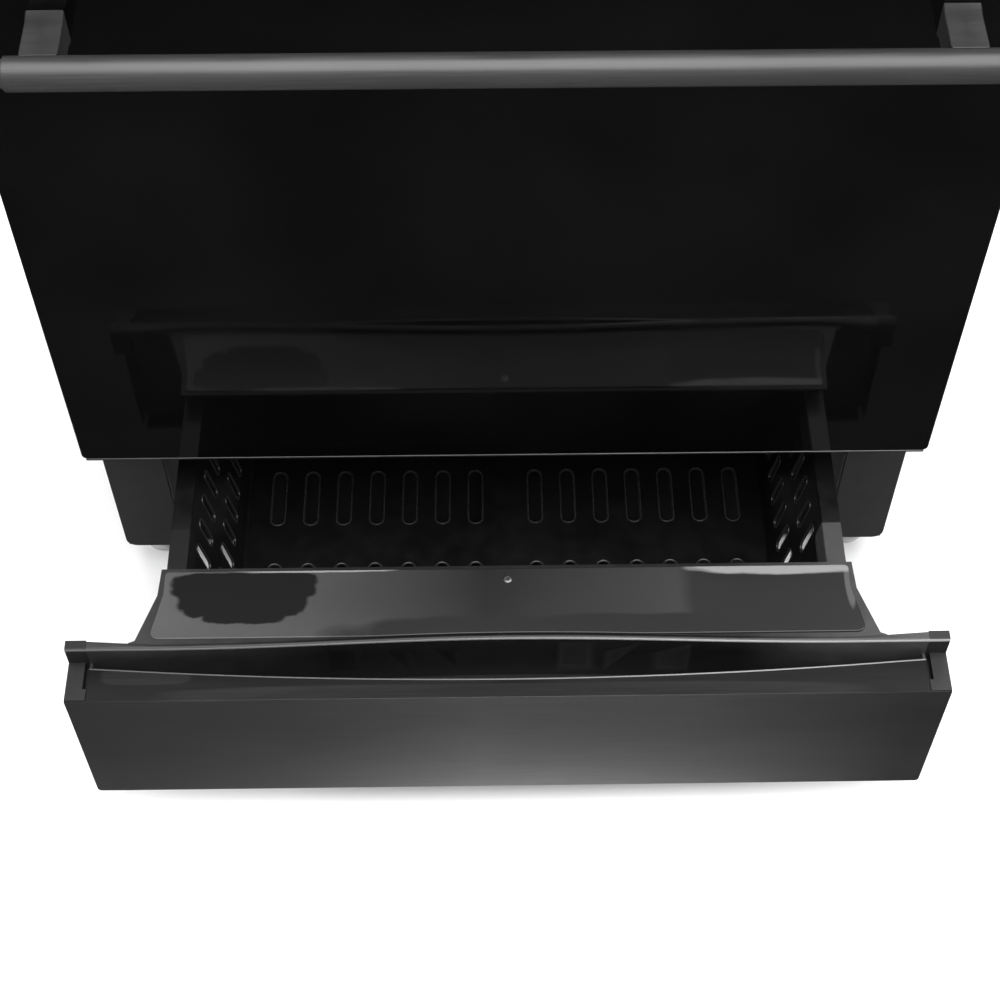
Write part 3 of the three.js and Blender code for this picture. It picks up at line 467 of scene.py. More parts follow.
def bare_metal(name, colour, rough, grain_scale=220.0, stretch=(1, 1, 1)):
    """Plain metal: cast, drawn or plated, with an uneven sheen."""
    made, tree, shader = finish(name, Metallic=1.0)
    dark = tuple(c * 0.75 for c in colour) + (1,)
    light = tuple(min(1.0, c * 1.15) for c in colour) + (1,)
    colour_from(tree, shader, clouded(tree, grain_scale / 12, dark, light))
    fine = grain(tree, grain_scale, stretch=stretch)
    roughness_from(tree, shader, between(tree, fine, max(rough - 0.1, 0.05), rough + 0.1))
    relief(tree, shader, fine, 0.00006, 0.5)
    return made


def galvanised():
    """Zinc coat with its crystal spangle."""
    made, tree, shader = finish("grey_steel", Metallic=0.9)
    cells = add(tree, "Cells", {"Vector": mapped(tree), "Scale": 150.0})
    split = add(tree, "SeparateXYZ", {"Vector": cells.outputs["Color"]})
    flakes = split.outputs["X"]
    colour_from(tree, shader, ramp(tree, flakes, (0.0, 0.2), (0.5, 0.235), (1.0, 0.28)))
    roughness_from(tree, shader, between(tree, flakes, 0.38, 0.48, 0.0, 1.0))
    relief(tree, shader, grain(tree, 300.0), 0.00004, 0.4)
    return made


def braided_seal():
    """Woven fibreglass rope: two crossed sets of strands."""
    made, tree, shader = finish("seal", Sheen_Weight=0.3, Sheen_Roughness=0.5)
    waves = []
    for turn in (0.7, -0.7):
        at = mapped(tree, turn=(0, turn, 0))
        waves.append(add(tree, "Wave", {"Vector": at, "Scale": 260.0, "Distortion": 1.2}).outputs["Fac"])
    woven = calc(tree, "MULTIPLY", *waves)
    colour_from(tree, shader, ramp(tree, woven, (0.0, 0.03), (0.6, 0.1), (1.0, 0.16)))
    roughness_from(tree, shader, between(tree, woven, 0.75, 0.95, 0.0, 1.0))
    relief(tree, shader, woven, 0.0004, 0.8)
    return made


def tinted_glass():
    made, tree, shader = finish("clear_glass", IOR=1.45, Transmission_Weight=0.85)
    colour_from(tree, shader, clouded(tree, 10.0, 0.10, 0.14))
    cloudy_gloss(tree, shader, 16.0, 0.02, 0.07)
    return made


def make_finishes():
    """One material for each slot of the record, with a few more for small details."""
    return {
        "black_paint": satin_paint("black_paint", 0.026),
        "dark_steel": brushed_steel("dark_steel", 0.085)[0],
        "drawer_steel_painted_light": drawer_steel_painted_light(),
        "knob_metal": brushed_steel("knob_metal", 0.16, 0.3)[0],
        "grey_steel": galvanised(),
        "black_glass": black_glass(),
        "clear_glass": tinted_glass(),
        "enamel": speckled_enamel("enamel", 0.012),
        "cast_iron": cast_iron(),
        "aluminium": bare_metal("aluminium", (0.36, 0.36, 0.37), 0.4, 500.0),
        "chrome": bare_metal("chrome", (0.55, 0.56, 0.57), 0.16, 160.0),
        "gloss_plastic": gloss_plastic(),
        "black_plastic": matt_plastic("black_plastic", 0.011),
        "nylon": matt_plastic("nylon", 0.55, 0.42),
        "seal": braided_seal(),
        "tub": tub_enamel(),
        "print": matt_plastic("printed_mark", 0.5, 0.5),
        "bright_edge": bare_metal("bright_edge", (0.21, 0.21, 0.215), 0.42, 30.0, (0.1, 1, 1)),
        # painted highlight: the slot rims in a paler steel than the tub's coat
        "rim": brushed_steel("rim_highlight", 0.075, 0.24)[0],
        "hazed_plate": hazed_plate(),
        "rolled_edge_highlight": rolled_edge_highlight(),
    }


# ---------------------------------------------------------------- modelling helpers
def done():
    """Back to object mode."""
    bpy.ops.object.mode_set(mode="OBJECT")


def deselect():
    """Object mode with nothing selected."""
    if bpy.context.object and bpy.context.object.mode != "OBJECT":
        done()
    bpy.ops.object.select_all(action="DESELECT")


def only(piece):
    deselect()
    piece.select_set(True)
    bpy.context.view_layer.objects.active = piece


def settle(piece):
    """Moves the object's place, turn and scale into its mesh."""
    only(piece)
    bpy.ops.object.transform_apply(location=True, rotation=True, scale=True)
    return piece


def fresh(name):
    """The piece just made, named and settled."""
    piece = bpy.context.object
    piece.name = name
    return settle(piece)


def move(piece, offset):
    piece.data.transform(Matrix.Translation(offset))


def turn_about(piece, axis, angle):
    piece.data.transform(Matrix.Rotation(angle, 4, axis))


def block(name, low, high):
    """A box between two corners."""
    deselect()
    low, high = Vector(low), Vector(high)
    bpy.ops.mesh.primitive_cube_add(size=1, location=(low + high) / 2)
    bpy.context.object.scale = high - low
    return fresh(name)


def rod(name, start, end, radius, sides=24, tip=None):
    """A round bar from start to end, as wide as tip at its end if that is given."""
    deselect()
    start, end = Vector(start), Vector(end)
    run = end - start
    bpy.ops.mesh.primitive_cone_add(
        vertices=sides, radius1=radius, radius2=radius if tip is None else tip,
        depth=run.length, location=(start + end) / 2)
    bpy.context.object.rotation_euler = run.to_track_quat("Z", "Y").to_euler()
    return fresh(name)


KINDS = {"VERT": "vertices", "EDGE": "edges", "FACE": "polygons"}


def pick(piece, kind, test):
    """Edit mode with only what passes the test selected.

    The test takes a corner's place, an edge's two ends, or a face's centre and normal.
    """
    only(piece)
    bpy.ops.object.mode_set(mode="EDIT")
    bpy.ops.mesh.select_mode(type=kind)
    bpy.ops.mesh.select_all(action="DESELECT")
    done()
    mesh = piece.data
    for item in getattr(mesh, KINDS[kind]):
        if kind == "VERT":
            item.select = test(item.co)
        elif kind == "EDGE":
            item.select = test(*(mesh.vertices[i].co for i in item.vertices))
        else:
            item.select = test(item.center, item.normal)
    bpy.ops.object.mode_set(mode="EDIT")


def pick_facing(piece, *way):
    """Edit mode with only the faces selected that look this way."""
    pick(piece, "FACE", lambda centre, normal: normal.dot(way) > 0.9)


def push(offset):
    """Extrudes what is selected by an offset."""
    bpy.ops.mesh.extrude_region_move(TRANSFORM_OT_translate={"value": offset})


def shift(offset):
    bpy.ops.transform.translate(value=offset)


def bevelled(piece, test, width, segments):
    """Rounds only the edges that pass the test."""
    pick(piece, "EDGE", test)
    bpy.ops.mesh.bevel(offset=width, segments=segments, affect="EDGES")
    done()


def swell(factor, centre):
    """Scales what is selected about a point."""
    bpy.ops.transform.resize(value=factor, center_override=centre)


def apply(piece, kind, **settings):
    """Adds a modifier and applies it."""
    only(piece)
    modifier = piece.modifiers.new(kind.lower(), kind)
    for name, value in settings.items():
        setattr(modifier, name, value)
    bpy.ops.object.modifier_apply(modifier=modifier.name)
    return piece


def rounded(piece, width, segments=3, angle=32):
    """Rounds every edge sharper than the angle, and smooths the shading."""
    apply(piece, "BEVEL", width=width, segments=segments, limit_method="ANGLE",
          angle_limit=radians(angle), harden_normals=False, use_clamp_overlap=True)
    return smooth(piece)


def smooth(piece, angle=35):
    only(piece)
    bpy.ops.object.shade_smooth_by_angle(angle=radians(angle))
    return piece


def joined(name, pieces):
    """One mesh made of several."""
    deselect()
    for piece in pieces:
        piece.select_set(True)
    bpy.context.view_layer.objects.active = pieces[0]
    if len(pieces) > 1:
        bpy.ops.object.join()
    whole = bpy.context.object
    whole.name = name
    return whole


def copied(piece, name, offset=(0, 0, 0), turn=None):
    """A copy with its own mesh, turned about the origin by a matrix and then moved."""
    twin = piece.copy()
    twin.data = piece.data.copy()
    twin.name = name
    bpy.context.scene.collection.objects.link(twin)
    if turn is not None:
        twin.data.transform(turn.to_4x4())
    move(twin, offset)
    return twin


def row_of(name, piece, offsets):
    """Copies of a piece at each offset, joined; the piece itself is removed."""
    twins = [copied(piece, name, offset) for offset in offsets]
    bpy.data.objects.remove(piece)
    return joined(name, twins)


def carved(piece, *cutters, solver="EXACT"):
    """Cuts the cutters out of a piece, and removes them."""
    for cutter in cutters:
        apply(piece, "BOOLEAN", operation="DIFFERENCE", object=cutter, solver=solver)
        bpy.data.objects.remove(cutter)
    return piece


def fused(piece, *others):
    """Joins the others to a piece as one closed shell."""
    for other in others:
        apply(piece, "BOOLEAN", operation="UNION", object=other, solver="EXACT")
        bpy.data.objects.remove(other)
    return piece


def merge_doubles(piece):
    """Edit mode with everything selected and doubles merged."""
    only(piece)
    bpy.ops.object.mode_set(mode="EDIT")
    bpy.ops.mesh.select_all(action="SELECT")
    bpy.ops.mesh.remove_doubles(threshold=0.00001)


def mended(piece):
    """Doubles merged and normals turned outwards."""
    merge_doubles(piece)
    bpy.ops.mesh.normals_make_consistent(inside=False)
    done()
    return piece


def drawn_out(name, width, length):
    """Draws the round piece just made out along Y, and centres it on the origin."""
    piece = fresh(name)
    pick(piece, "VERT", lambda co: co.y > 0)
    shift((0, length - width, 0))
    done()
    move(piece, (0, (width - length) / 2, 0))
    return piece


def capsule(name, width, length, depth):
    """An upright prism with round ends, long in Y, centred on the origin."""
    sides = 16
    deselect()
    bpy.ops.mesh.primitive_cylinder_add(
        vertices=sides, radius=width / 2, depth=depth, rotation=(0, 0, pi / sides))
    return drawn_out(name, width, length)


def bead(name, width, length, thick):
    """A round-section rim of a slot with round ends, long in Y, centred on the origin."""
    sides = 20
    deselect()
    bpy.ops.mesh.primitive_torus_add(
        major_radius=width / 2, minor_radius=thick / 2, major_segments=sides, minor_segments=8,
        rotation=(0, 0, pi / sides))
    return drawn_out(name, width, length)


def middle(low, high):
    """The middle of a box, as three numbers."""
    return [(a + b) / 2 for a, b in zip(low, high)]


def body_of(node):
    return frame["nodes"][node]["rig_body"]


def slot_of(node):
    return next(s["material_slot"] for s in frame["record"]["subparts"] if s["node"] == node)


def dressed(piece, node, look=None, replace=True):
    """Gives a piece its finish and the body it moves with, and hides the CAD node it stands for when it
    replaces it.

    Its shading is weighted by area first, so that flat faces stay flat beside rounded edges.
    """
    apply(piece, "WEIGHTED_NORMAL", keep_sharp=True, weight=100)
    slot = slot_of(node)
    piece.data.materials.clear()
    piece.data.materials.append(LOOKS[look or slot])
    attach(piece, body_of(node))
    if replace:
        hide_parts(node)
    return piece


def whole_copy(node):
    """A copy of a CAD node with its own mesh, doubles merged and flat faces made whole."""
    piece = frame["nodes"][node].copy()
    piece.data = piece.data.copy()
    piece.parent = None
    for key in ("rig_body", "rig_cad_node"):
        del piece[key]
    piece.name = node + "_finished"
    bpy.context.scene.collection.objects.link(piece)
    merge_doubles(piece)
    bpy.ops.mesh.dissolve_limited(angle_limit=radians(0.05))
    done()
    return piece


def eased(node, width, segments, look=None):
    """A whole copy of a CAD node with its edges rounded."""
    return dressed(rounded(whole_copy(node), width, segments, 30), node, look)


LOOKS = make_finishes()
for node, solid in frame["nodes"].items():
    solid.data.materials.clear()
    solid.data.materials.append(LOOKS[slot_of(node)])


# ---------------------------------------------------------------- storage drawer
SHEET = 0.0012
RIM_HALF = 0.303
MOUTH_HALF = 0.2858
FLOOR_HALF = 0.2587
TUB_FRONT = 0.051            # behind the drawer's face
FLOOR_SLOT = {"width": 0.012, "length": 0.063, "first": 0.030, "pitch": 0.033, "rear": 0.570, "row": 0.1115}
SIDE_SLOT = {"width": 0.009, "height": 0.035, "pitch": 0.0276, "front": 0.1746, "heights": (0.1625, 0.1015)}
LIP_ROLL = (0.0021, 5)       # radius and steps of the lip's front edge
UPRIGHT = Matrix(((0, 0, 1), (1, 0, 0), (0, 1, 0))).to_4x4()    # Y to Z, Z to X: stands a flat slot up


def tub_shell(front, back, floor, rim, shelf):
    """A tapered trough with folded flanges, a shelf under the pull and a real wall."""
    tub = block("drawer_tub_finished", (-MOUTH_HALF, front, floor), (MOUTH_HALF, back, rim))
    pick(tub, "VERT", lambda co: co.z < floor + SHEET)
    swell((FLOOR_HALF / MOUTH_HALF, 1, 1), (0, front, floor))
    pick_facing(tub, 0, 0, 1)
    bpy.ops.mesh.delete(type="ONLY_FACE")

    def rim_edge(a, b, side=0, y=None):
        level = min(a.z, b.z) > rim - SHEET and max(abs(a.x), abs(b.x)) < MOUTH_HALF + SHEET
        if side:
            return level and min(a.x * side, b.x * side) > MOUTH_HALF - SHEET
        return level and abs(a.y - y) < SHEET and abs(b.y - y) < SHEET

    for side in SIDES.values():
        pick(tub, "EDGE", lambda a, b: rim_edge(a, b, side=side))
        push((side * (RIM_HALF - MOUTH_HALF), 0, 0))
    pick(tub, "EDGE", lambda a, b: rim_edge(a, b, y=back))
    push((0, -0.012, 0))
    pick(tub, "EDGE", lambda a, b: rim_edge(a, b, y=front))
    push((0, 0, shelf - SHEET - rim))
    push((0, 0.067, 0))
    done()
    apply(tub, "BEVEL", width=0.0028, segments=3, limit_method="ANGLE", angle_limit=radians(30))
    return apply(tub, "SOLIDIFY", thickness=SHEET, offset=1)


def wall_lean(floor, rim):
    return (MOUTH_HALF - FLOOR_HALF) / (rim - floor)


def side_slot_spots(side, face, floor, rim):
    """Middles of the upright slots of one side: two rows, half a pitch apart."""
    spots = []
    for row, height in enumerate(SIDE_SLOT["heights"]):
        stagger = SIDE_SLOT["pitch"] / 2 if (side > 0) == (row == 0) else 0
        x = side * (FLOOR_HALF + (height - floor) * wall_lean(floor, rim))
        for i in range(13):
            spots.append((x, face + SIDE_SLOT["front"] + stagger + i * SIDE_SLOT["pitch"], height))
    return spots


def make_drawer_tub():
    low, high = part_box("drawer_tub")
    face, floor = drawer_face(), low.z + SHEET
    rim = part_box("rear_roller_left")[1].z + 0.0015
    tub = tub_shell(face + TUB_FRONT, high.y, floor, rim, high.z)
    slot = FLOOR_SLOT
    rear = face + slot["rear"] - slot["length"] / 2
    spots = [(side * (slot["first"] + i * slot["pitch"]), rear - row * slot["row"], floor)
             for row in range(4) for side in (-1, 1) for i in range(7)]
    carved(tub, row_of("floor_slots", capsule("slot", slot["width"], slot["length"], 0.02), spots))
    rims = [row_of("floor_rims", bead("rim", slot["width"] + 0.0026, slot["length"] + 0.0026, 0.0018), spots)]
    for side in SIDES.values():
        spots = side_slot_spots(side, face, floor, rim)
        cutter = capsule("slot", SIDE_SLOT["width"], SIDE_SLOT["height"], 0.03)
        cutter.data.transform(UPRIGHT)
        carved(tub, row_of("side_slots", cutter, spots))
        ring = bead("rim", SIDE_SLOT["width"] + 0.0022, SIDE_SLOT["height"] + 0.003, 0.0015)
        ring.data.transform(UPRIGHT)
        turn_about(ring, "Y", side * wall_lean(floor, rim))
        rims.append(row_of("side_rims", ring, spots))
    smooth(tub)
    foot_half, foot_top = 0.25, 0.15
    foot = block("foot", (-foot_half, low.y, low.z), (foot_half, face + TUB_FRONT + SHEET, floor))
    stand = block("stand", (-foot_half, low.y, low.z), (foot_half, low.y + SHEET, foot_top))
    extras = [rounded(foot, 0.0004, 1), rounded(stand, 0.0004, 1)]
    _, y, z = middle(*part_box("rear_roller_left"))
    for side in SIDES.values():
        for part, inner, radius in (("axle", 0.283, 0.0025), ("washer", 0.3135, 0.0042)):
            extras.append(rod(part, (side * inner, y, z), (side * high.x, y, z), radius, 16))
    # the slot rims take the paler rim look, a painted highlight
    dressed(smooth(joined("slot_rims", rims)), "drawer_tub", "rim", replace=False)
    return dressed(joined("drawer_tub_finished", [tub] + extras), "drawer_tub", "tub")


def lip_front(x):
    """Front edge of the pull's lip behind the drawer's face: drawn back in the middle."""
    return 0.0385 + 0.0071 * (cos(pi * min(abs(x), 0.3) / 0.3) + 1) / 2


def ledge_rear(x):
    """Rear edge of the ledge behind the drawer's face: bowed forward in the middle."""
    return 0.032 - 0.0144 * max(0.0, 1 - (x / 0.355) ** 2)


def bowed(piece, steps, moved, shape):
    """Cuts a piece that is long in X into steps, and shifts the corners that moved picks by shape(x)."""
    low, high = min(v.co.x for v in piece.data.vertices), max(v.co.x for v in piece.data.vertices)
    places = [low + (high - low) * i / steps for i in range(1, steps)]
    for x in places:
        pick(piece, "FACE", lambda centre, normal: True)
        bpy.ops.mesh.bisect(plane_co=(x, 0, 0), plane_no=(1, 0, 0))
    for x in [low] + places + [high]:
        pick(piece, "VERT", lambda co: abs(co.x - x) < 0.0002 and moved(co))
        shift((0, shape(x), 0))
    done()
    return piece


def make_pull():
    """The moulded pull, with a rolled front edge on its lip and a hollow blend behind it."""
    face, top = drawer_face(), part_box("drawer_pull")[1].z
    pull = whole_copy("drawer_pull")
    lip_middle = 0.0025

    def on_lip(a, b, front):
        level = min(a.z, b.z) > top - 0.0001
        before = all(co.y < face + lip_front(co.x) + lip_middle for co in (a, b))
        after = all(co.y > face + lip_front(co.x) + lip_middle for co in (a, b))
        return level and (before if front else after) and abs(a.x - b.x) > 0.0001

    for front, width, segments in ((True, *LIP_ROLL), (False, 0.0026, 4)):
        bevelled(pull, lambda a, b: on_lip(a, b, front), width, segments)
    return dressed(smooth(pull, 25), "drawer_pull")


def make_pull_field():
    """Flat raised top of the pull's plate: wider at the front, and it follows the lip there."""
    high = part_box("drawer_pull")[1]
    face = drawer_face()
    plate = high.z - 0.005
    back, waist, front = high.y - 0.0035, face + 0.095, face + 0.050
    rear_half, front_half = 0.2995, 0.3085
    field = block("pull_field", (-rear_half, waist, plate - 0.001), (rear_half, back, plate + 0.0016))
    pick_facing(field, 0, -1, 0)
    push((0, front - waist, 0))
    swell((front_half / rear_half, 1, 1), (0, front, plate))
    done()
    for at_front, radius in ((True, 0.009), (False, 0.004)):
        edge_y = front if at_front else back
        bevelled(field, lambda a, b: abs(a.z - b.z) > SHEET and abs(a.y - edge_y) < SHEET, radius, 8)
    gap = 0.0068
    bowed(field, 32, lambda co: co.y < front + 0.012,
          lambda x: max(0.0, face + lip_front(x) + gap - front))
    rounded(field, 0.0013, 4, 40)
    return dressed(field, "drawer_pull", "hazed_plate", replace=False)


def make_edge_bead(name, node, half, z, radius, curve):
    """A thin rolled edge that follows a curve from one side of the drawer to the other."""
    edge = rod(name, (-half, 0, z), (half, 0, z), radius, 12)
    bowed(edge, 32, lambda co: True, lambda x: drawer_face() + curve(x))
    smooth(edge, 60)
    return dressed(edge, node, "rolled_edge_highlight", replace=False)


def make_end_cap(hand):
    """Moulded cap with a slit between it and the ledge, and the lip's rolled edge carried on."""
    node = "drawer_end_cap_" + hand
    low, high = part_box(node)
    cap = whole_copy(node)
    face, top = drawer_face(), high.z
    bevelled(cap, lambda a, b: min(a.z, b.z) > top - 0.0001 and max(a.y, b.y) < face + 0.040, *LIP_ROLL)
    inner = low.x if hand == "right" else high.x
    outward = SIDES[hand]
    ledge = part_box("drawer_front_panel")[1].z
    near, far = sorted((inner - outward * SHEET, inner + outward * 0.0034))
    slit = block("slit", (near, low.y + 0.011, ledge - 0.009), (far, face + 0.0384, ledge + SHEET))
    carved(cap, slit)
    return dressed(rounded(cap, 0.0007, 3), node)


def cut_cross(head, length, width, low, high, angle=0.0, place=(0, 0, 0)):
    """Cuts a cross recess into a screw's head. Length and width are half of an arm's."""
    for turn in (0, pi / 2):
        arm = block("recess", (-length, -width, low), (length, width, high))
        turn_about(arm, "Z", turn + angle)
        move(arm, place)
        carved(head, arm)


def make_pull_screw():
    """Pan-head screw with a washer and a cross recess."""
    low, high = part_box("pull_screw")
    x, y, _ = middle(low, high)
    plate = high.z - 0.0026
    head = rod("head", (x, y, plate + 0.0006), (x, y, plate + 0.0018), 0.0040, 32)
    pick_facing(head, 0, 0, 1)
    push((0, 0, 0.0007))
    swell((0.72, 0.72, 1), (x, y, plate))
    done()
    rounded(head, 0.0003, 2, 25)
    cut_cross(head, 0.0022, 0.00045, high.z - 0.0014, high.z + 0.002, 0.4, (x, y, 0))
    washer = rod("washer", (x, y, plate + 0.0001), (x, y, plate + 0.0007), 0.0056, 32)
    rounded(washer, 0.0002, 2)
    shank = rod("shank", (x, y, low.z), (x, y, plate + 0.0006), 0.0022, 16)
    return dressed(joined("pull_screw_finished", [head, washer, shank]), "pull_screw", "aluminium")


# ---------------------------------------------------------------- oven door
def make_door_glass():
    low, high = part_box("door_glass")
    glass = block("door_glass_finished", low, high)
    bevelled(glass, lambda a, b: abs(a.y - b.y) > SHEET, 0.005, 6)
    rounded(glass, 0.0007, 3)
    return dressed(glass, "door_glass")


def make_door_trim():
    """Thin bright strip that the glass stands on."""
    low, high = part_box("door_glass")
    inset = 0.003
    trim = block("door_trim", (low.x + inset, low.y - 0.0002, low.z - 0.0028),
                 (high.x - inset, low.y + 0.0048, low.z - 0.0003))
    rounded(trim, 0.0008, 3)
    return dressed(trim, "door_frame", "bright_edge", replace=False)


def make_handle_bar():
    low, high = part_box("door_handle_bar")
    _, y, z = middle(low, high)
    radius, dome = (high.z - low.z) / 2, 0.003
    bar = rod("door_handle_bar_finished", (low.x + dome, y, z), (high.x - dome, y, z), radius, 48)
    for side in SIDES.values():
        pick_facing(bar, side, 0, 0)
        bpy.ops.mesh.inset(thickness=0.0012)
        push((side * dome, 0, 0))
        swell((1, 0.86, 0.86), (0, y, z))
    done()
    rounded(bar, 0.0009, 3, 25)
    return dressed(bar, "door_handle_bar")


def screw_head():
    """A small pan head that faces +Z, on the origin."""
    radius, height = 0.004, 0.0016
    head = rod("head", (0, 0, -0.0004), (0, 0, height * 0.55), radius, 20)
    pick_facing(head, 0, 0, 1)
    push((0, 0, height * 0.45))
    swell((0.7, 0.7, 1), (0, 0, height))
    done()
    rounded(head, radius * 0.07, 2, 25)
    cut_cross(head, radius * 0.5, radius * 0.1, height * 0.4, height * 2)
    return head


def make_back_screws():
    """Screws around the edge of the back panel."""
    low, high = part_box("back_panel")
    head = screw_head()
    turn_about(head, "X", -pi / 2)
    spots, inset = [], 0.012
    for x in (low.x + inset, high.x - inset):
        spots += [(x, high.y, low.z + 0.02 + (high.z - low.z - 0.06) * i / 3) for i in range(4)]
    spots += [(x, high.y, low.z + inset) for x in (-0.12, 0.12)]
    return dressed(row_of("back_screws", head, spots), "back_panel", "chrome", replace=False)


# ---------------------------------------------------------------- controls
def make_knob(name):
    """Skirt, tapered grip, a raised ridge and a pale pointer line."""
    node = "knob_" + name
    low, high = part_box(node)
    x, _, z = middle(low, high)
    back, front = high.y, low.y
    skirt_radius, skirt = (high.x - low.x) / 2, 0.004
    grip_radius, grip = 0.0205, 0.0205
    knob = rod(node + "_finished", (x, back, z), (x, back - skirt, z), skirt_radius, 64)
    pick_facing(knob, 0, -1, 0)
    bpy.ops.mesh.inset(thickness=skirt_radius - grip_radius)
    push((0, -grip, 0))
    swell((0.9, 1, 0.9), (x, back, z))
    bpy.ops.mesh.inset(thickness=0.0035)
    shift((0, -0.0016, 0))
    done()
    rounded(knob, 0.0011, 4, 20)
    ridge_half, ridge_reach = 0.0032, 0.0188
    ridge = block("ridge", (x - ridge_half, front, z - ridge_reach),
                  (x + ridge_half, back - 0.012, z + ridge_reach))
    rounded(ridge, 0.0014, 4)
    fused(knob, ridge)
    smooth(knob, 30)
    bore = rod("bore", (x, back + 0.001, z), (x, back - 0.0200, z), 0.0043, 24)
    carved(knob, bore)
    dressed(knob, node)
    pointer = block(node + "_pointer", (x - 0.0009, front - 0.0003, z + 0.004),
                    (x + 0.0009, front + 0.001, z + 0.0165))
    rounded(pointer, 0.0002, 2)
    return dressed(pointer, node, "print", replace=False)


def make_dial_marks():
    """Printed ticks around each knob and short numbers at the oven's dial."""
    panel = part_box("control_panel")[0].y
    ticks_at, numbers_at, line = 0.0285, 0.0375, 0.00035
    marks = []
    for name in VALVES:
        low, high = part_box("knob_" + name)
        x, _, z = middle(low, high)
        span = 285 if name == "oven" else 240
        count = 11 if name == "oven" else 9
        for i in range(count):
            angle = radians(90) - radians(span) * i / (count - 1)
            long = 0.0032 if i % 2 == 0 else 0.0020
            tick = block("tick", (ticks_at, -line, -line), (ticks_at + long, line, line))
            turn_about(tick, "Y", -angle)
            move(tick, (x, panel, z))
            marks.append(tick)
        if name == "oven":
            for i, number in enumerate(("100", "150", "200", "250")):
                angle = radians(90) - radians(span) * (2 * i + 3) / (count - 1)
                place = (x + numbers_at * cos(angle), panel - 0.0002, z + numbers_at * sin(angle))
                marks.append(number_on_panel(number, place))
    return dressed(joined("dial_marks", marks), "control_panel", "print", replace=False)


def number_on_panel(text, place):
    deselect()
    bpy.ops.object.text_add(location=(0, 0, 0))
    label = bpy.context.object
    label.data.body = text
    label.data.size = 0.0058
    label.data.extrude = 0.0002
    label.data.align_x = "CENTER"
    label.data.align_y = "CENTER"
    only(label)
    bpy.ops.object.convert(target="MESH")
    label = bpy.context.object
    turn_about(label, "X", pi / 2)
    move(label, place)
    return label


# ---------------------------------------------------------------- cooktop
def make_burner(name):
    """Cast base with a ring of flame ports, and its domed cap."""
    base_node, cap_node = "burner_base_" + name, "burner_cap_" + name
    low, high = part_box(base_node)
    x, y, _ = middle(low, high)
    flange, flange_width = (high.x - low.x) / 2, 0.010
    radius = flange - flange_width
    base = rod(base_node + "_finished", (x, y, low.z), (x, y, low.z + 0.002), flange, 64)
    pick_facing(base, 0, 0, 1)
    bpy.ops.mesh.inset(thickness=flange_width)
    shift((0, 0, 0.003))
    push((0, 0, 0.010))
    done()
    rounded(base, 0.0006, 3, 25)
    port = block("port", (radius - 0.005, -0.0009, low.z + 0.0085), (radius + 0.003, 0.0009, low.z + 0.0128))
    ports_per_metre = 640
    count = int(round(radius * ports_per_metre))
    turns = [Matrix.Rotation(2 * pi * i / count, 3, "Z") for i in range(count)]
    ports = [copied(port, "port", (x, y, 0), turn) for turn in turns]
    bpy.data.objects.remove(port)
    carved(base, joined("ports", ports))
    dressed(base, base_node)
    low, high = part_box(cap_node)
    foot, widest, crown = radius + 0.002, radius + 0.004, radius - 0.008
    cap = rod(cap_node + "_finished", (x, y, low.z), (x, y, low.z + 0.002), foot, 64, widest)
    pick_facing(cap, 0, 0, 1)
    push((0, 0, 0.004))
    swell((foot / widest, foot / widest, 1), (x, y, low.z))
    push((0, 0, 0.002))
    swell((crown / foot, crown / foot, 1), (x, y, low.z))
    bpy.ops.mesh.inset(thickness=0.008)
    shift((0, 0, -0.0008))
    done()
    rounded(cap, 0.0012, 4, 15)
    return dressed(cap, cap_node)


# ---------------------------------------------------------------- oven racks
def make_rack(node):
    """Plated round wires: a frame with rounded corners, a middle rail, a rear stop and the shelf wires."""
    low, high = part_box(node)
    bar, wire = 0.003, 0.002
    z = low.z + bar
    left, right = low.x + bar, high.x - bar
    front, back = low.y + bar, high.y - bar
    stop = high.z - bar
    wires = []
    for y in (front, middle(low, high)[1], back):
        wires.append(rod("bar", (left, y, z), (right, y, z), bar, 14))
    for x in (left, right):
        wires.append(rod("bar", (x, front, z), (x, back, z), bar, 14))
        for y in (front, back):
            wires.append(ball("corner", (x, y, z), bar))
    span, slope, pitch = 0.262, 0.034, 0.038
    wires.append(rod("stop", (-span, back, stop), (span, back, stop), bar, 14))
    for side in SIDES.values():
        wires.append(ball("corner", (side * span, back, stop), bar))
        wires.append(rod("riser", (side * span, back, stop), (side * (span + slope), back, z), bar, 14))
    count, shelf = 7, z + bar + wire / 2
    for i in range(-count, count + 1):
        wires.append(rod("wire", (i * pitch, front, shelf), (i * pitch, back, shelf), wire, 12))
    whole = joined(node + "_finished", wires)
    return dressed(smooth(whole, 40), node)


def ball(name, place, radius):
    deselect()
    bpy.ops.mesh.primitive_uv_sphere_add(segments=14, ring_count=8, radius=radius, location=place)
    return fresh(name)


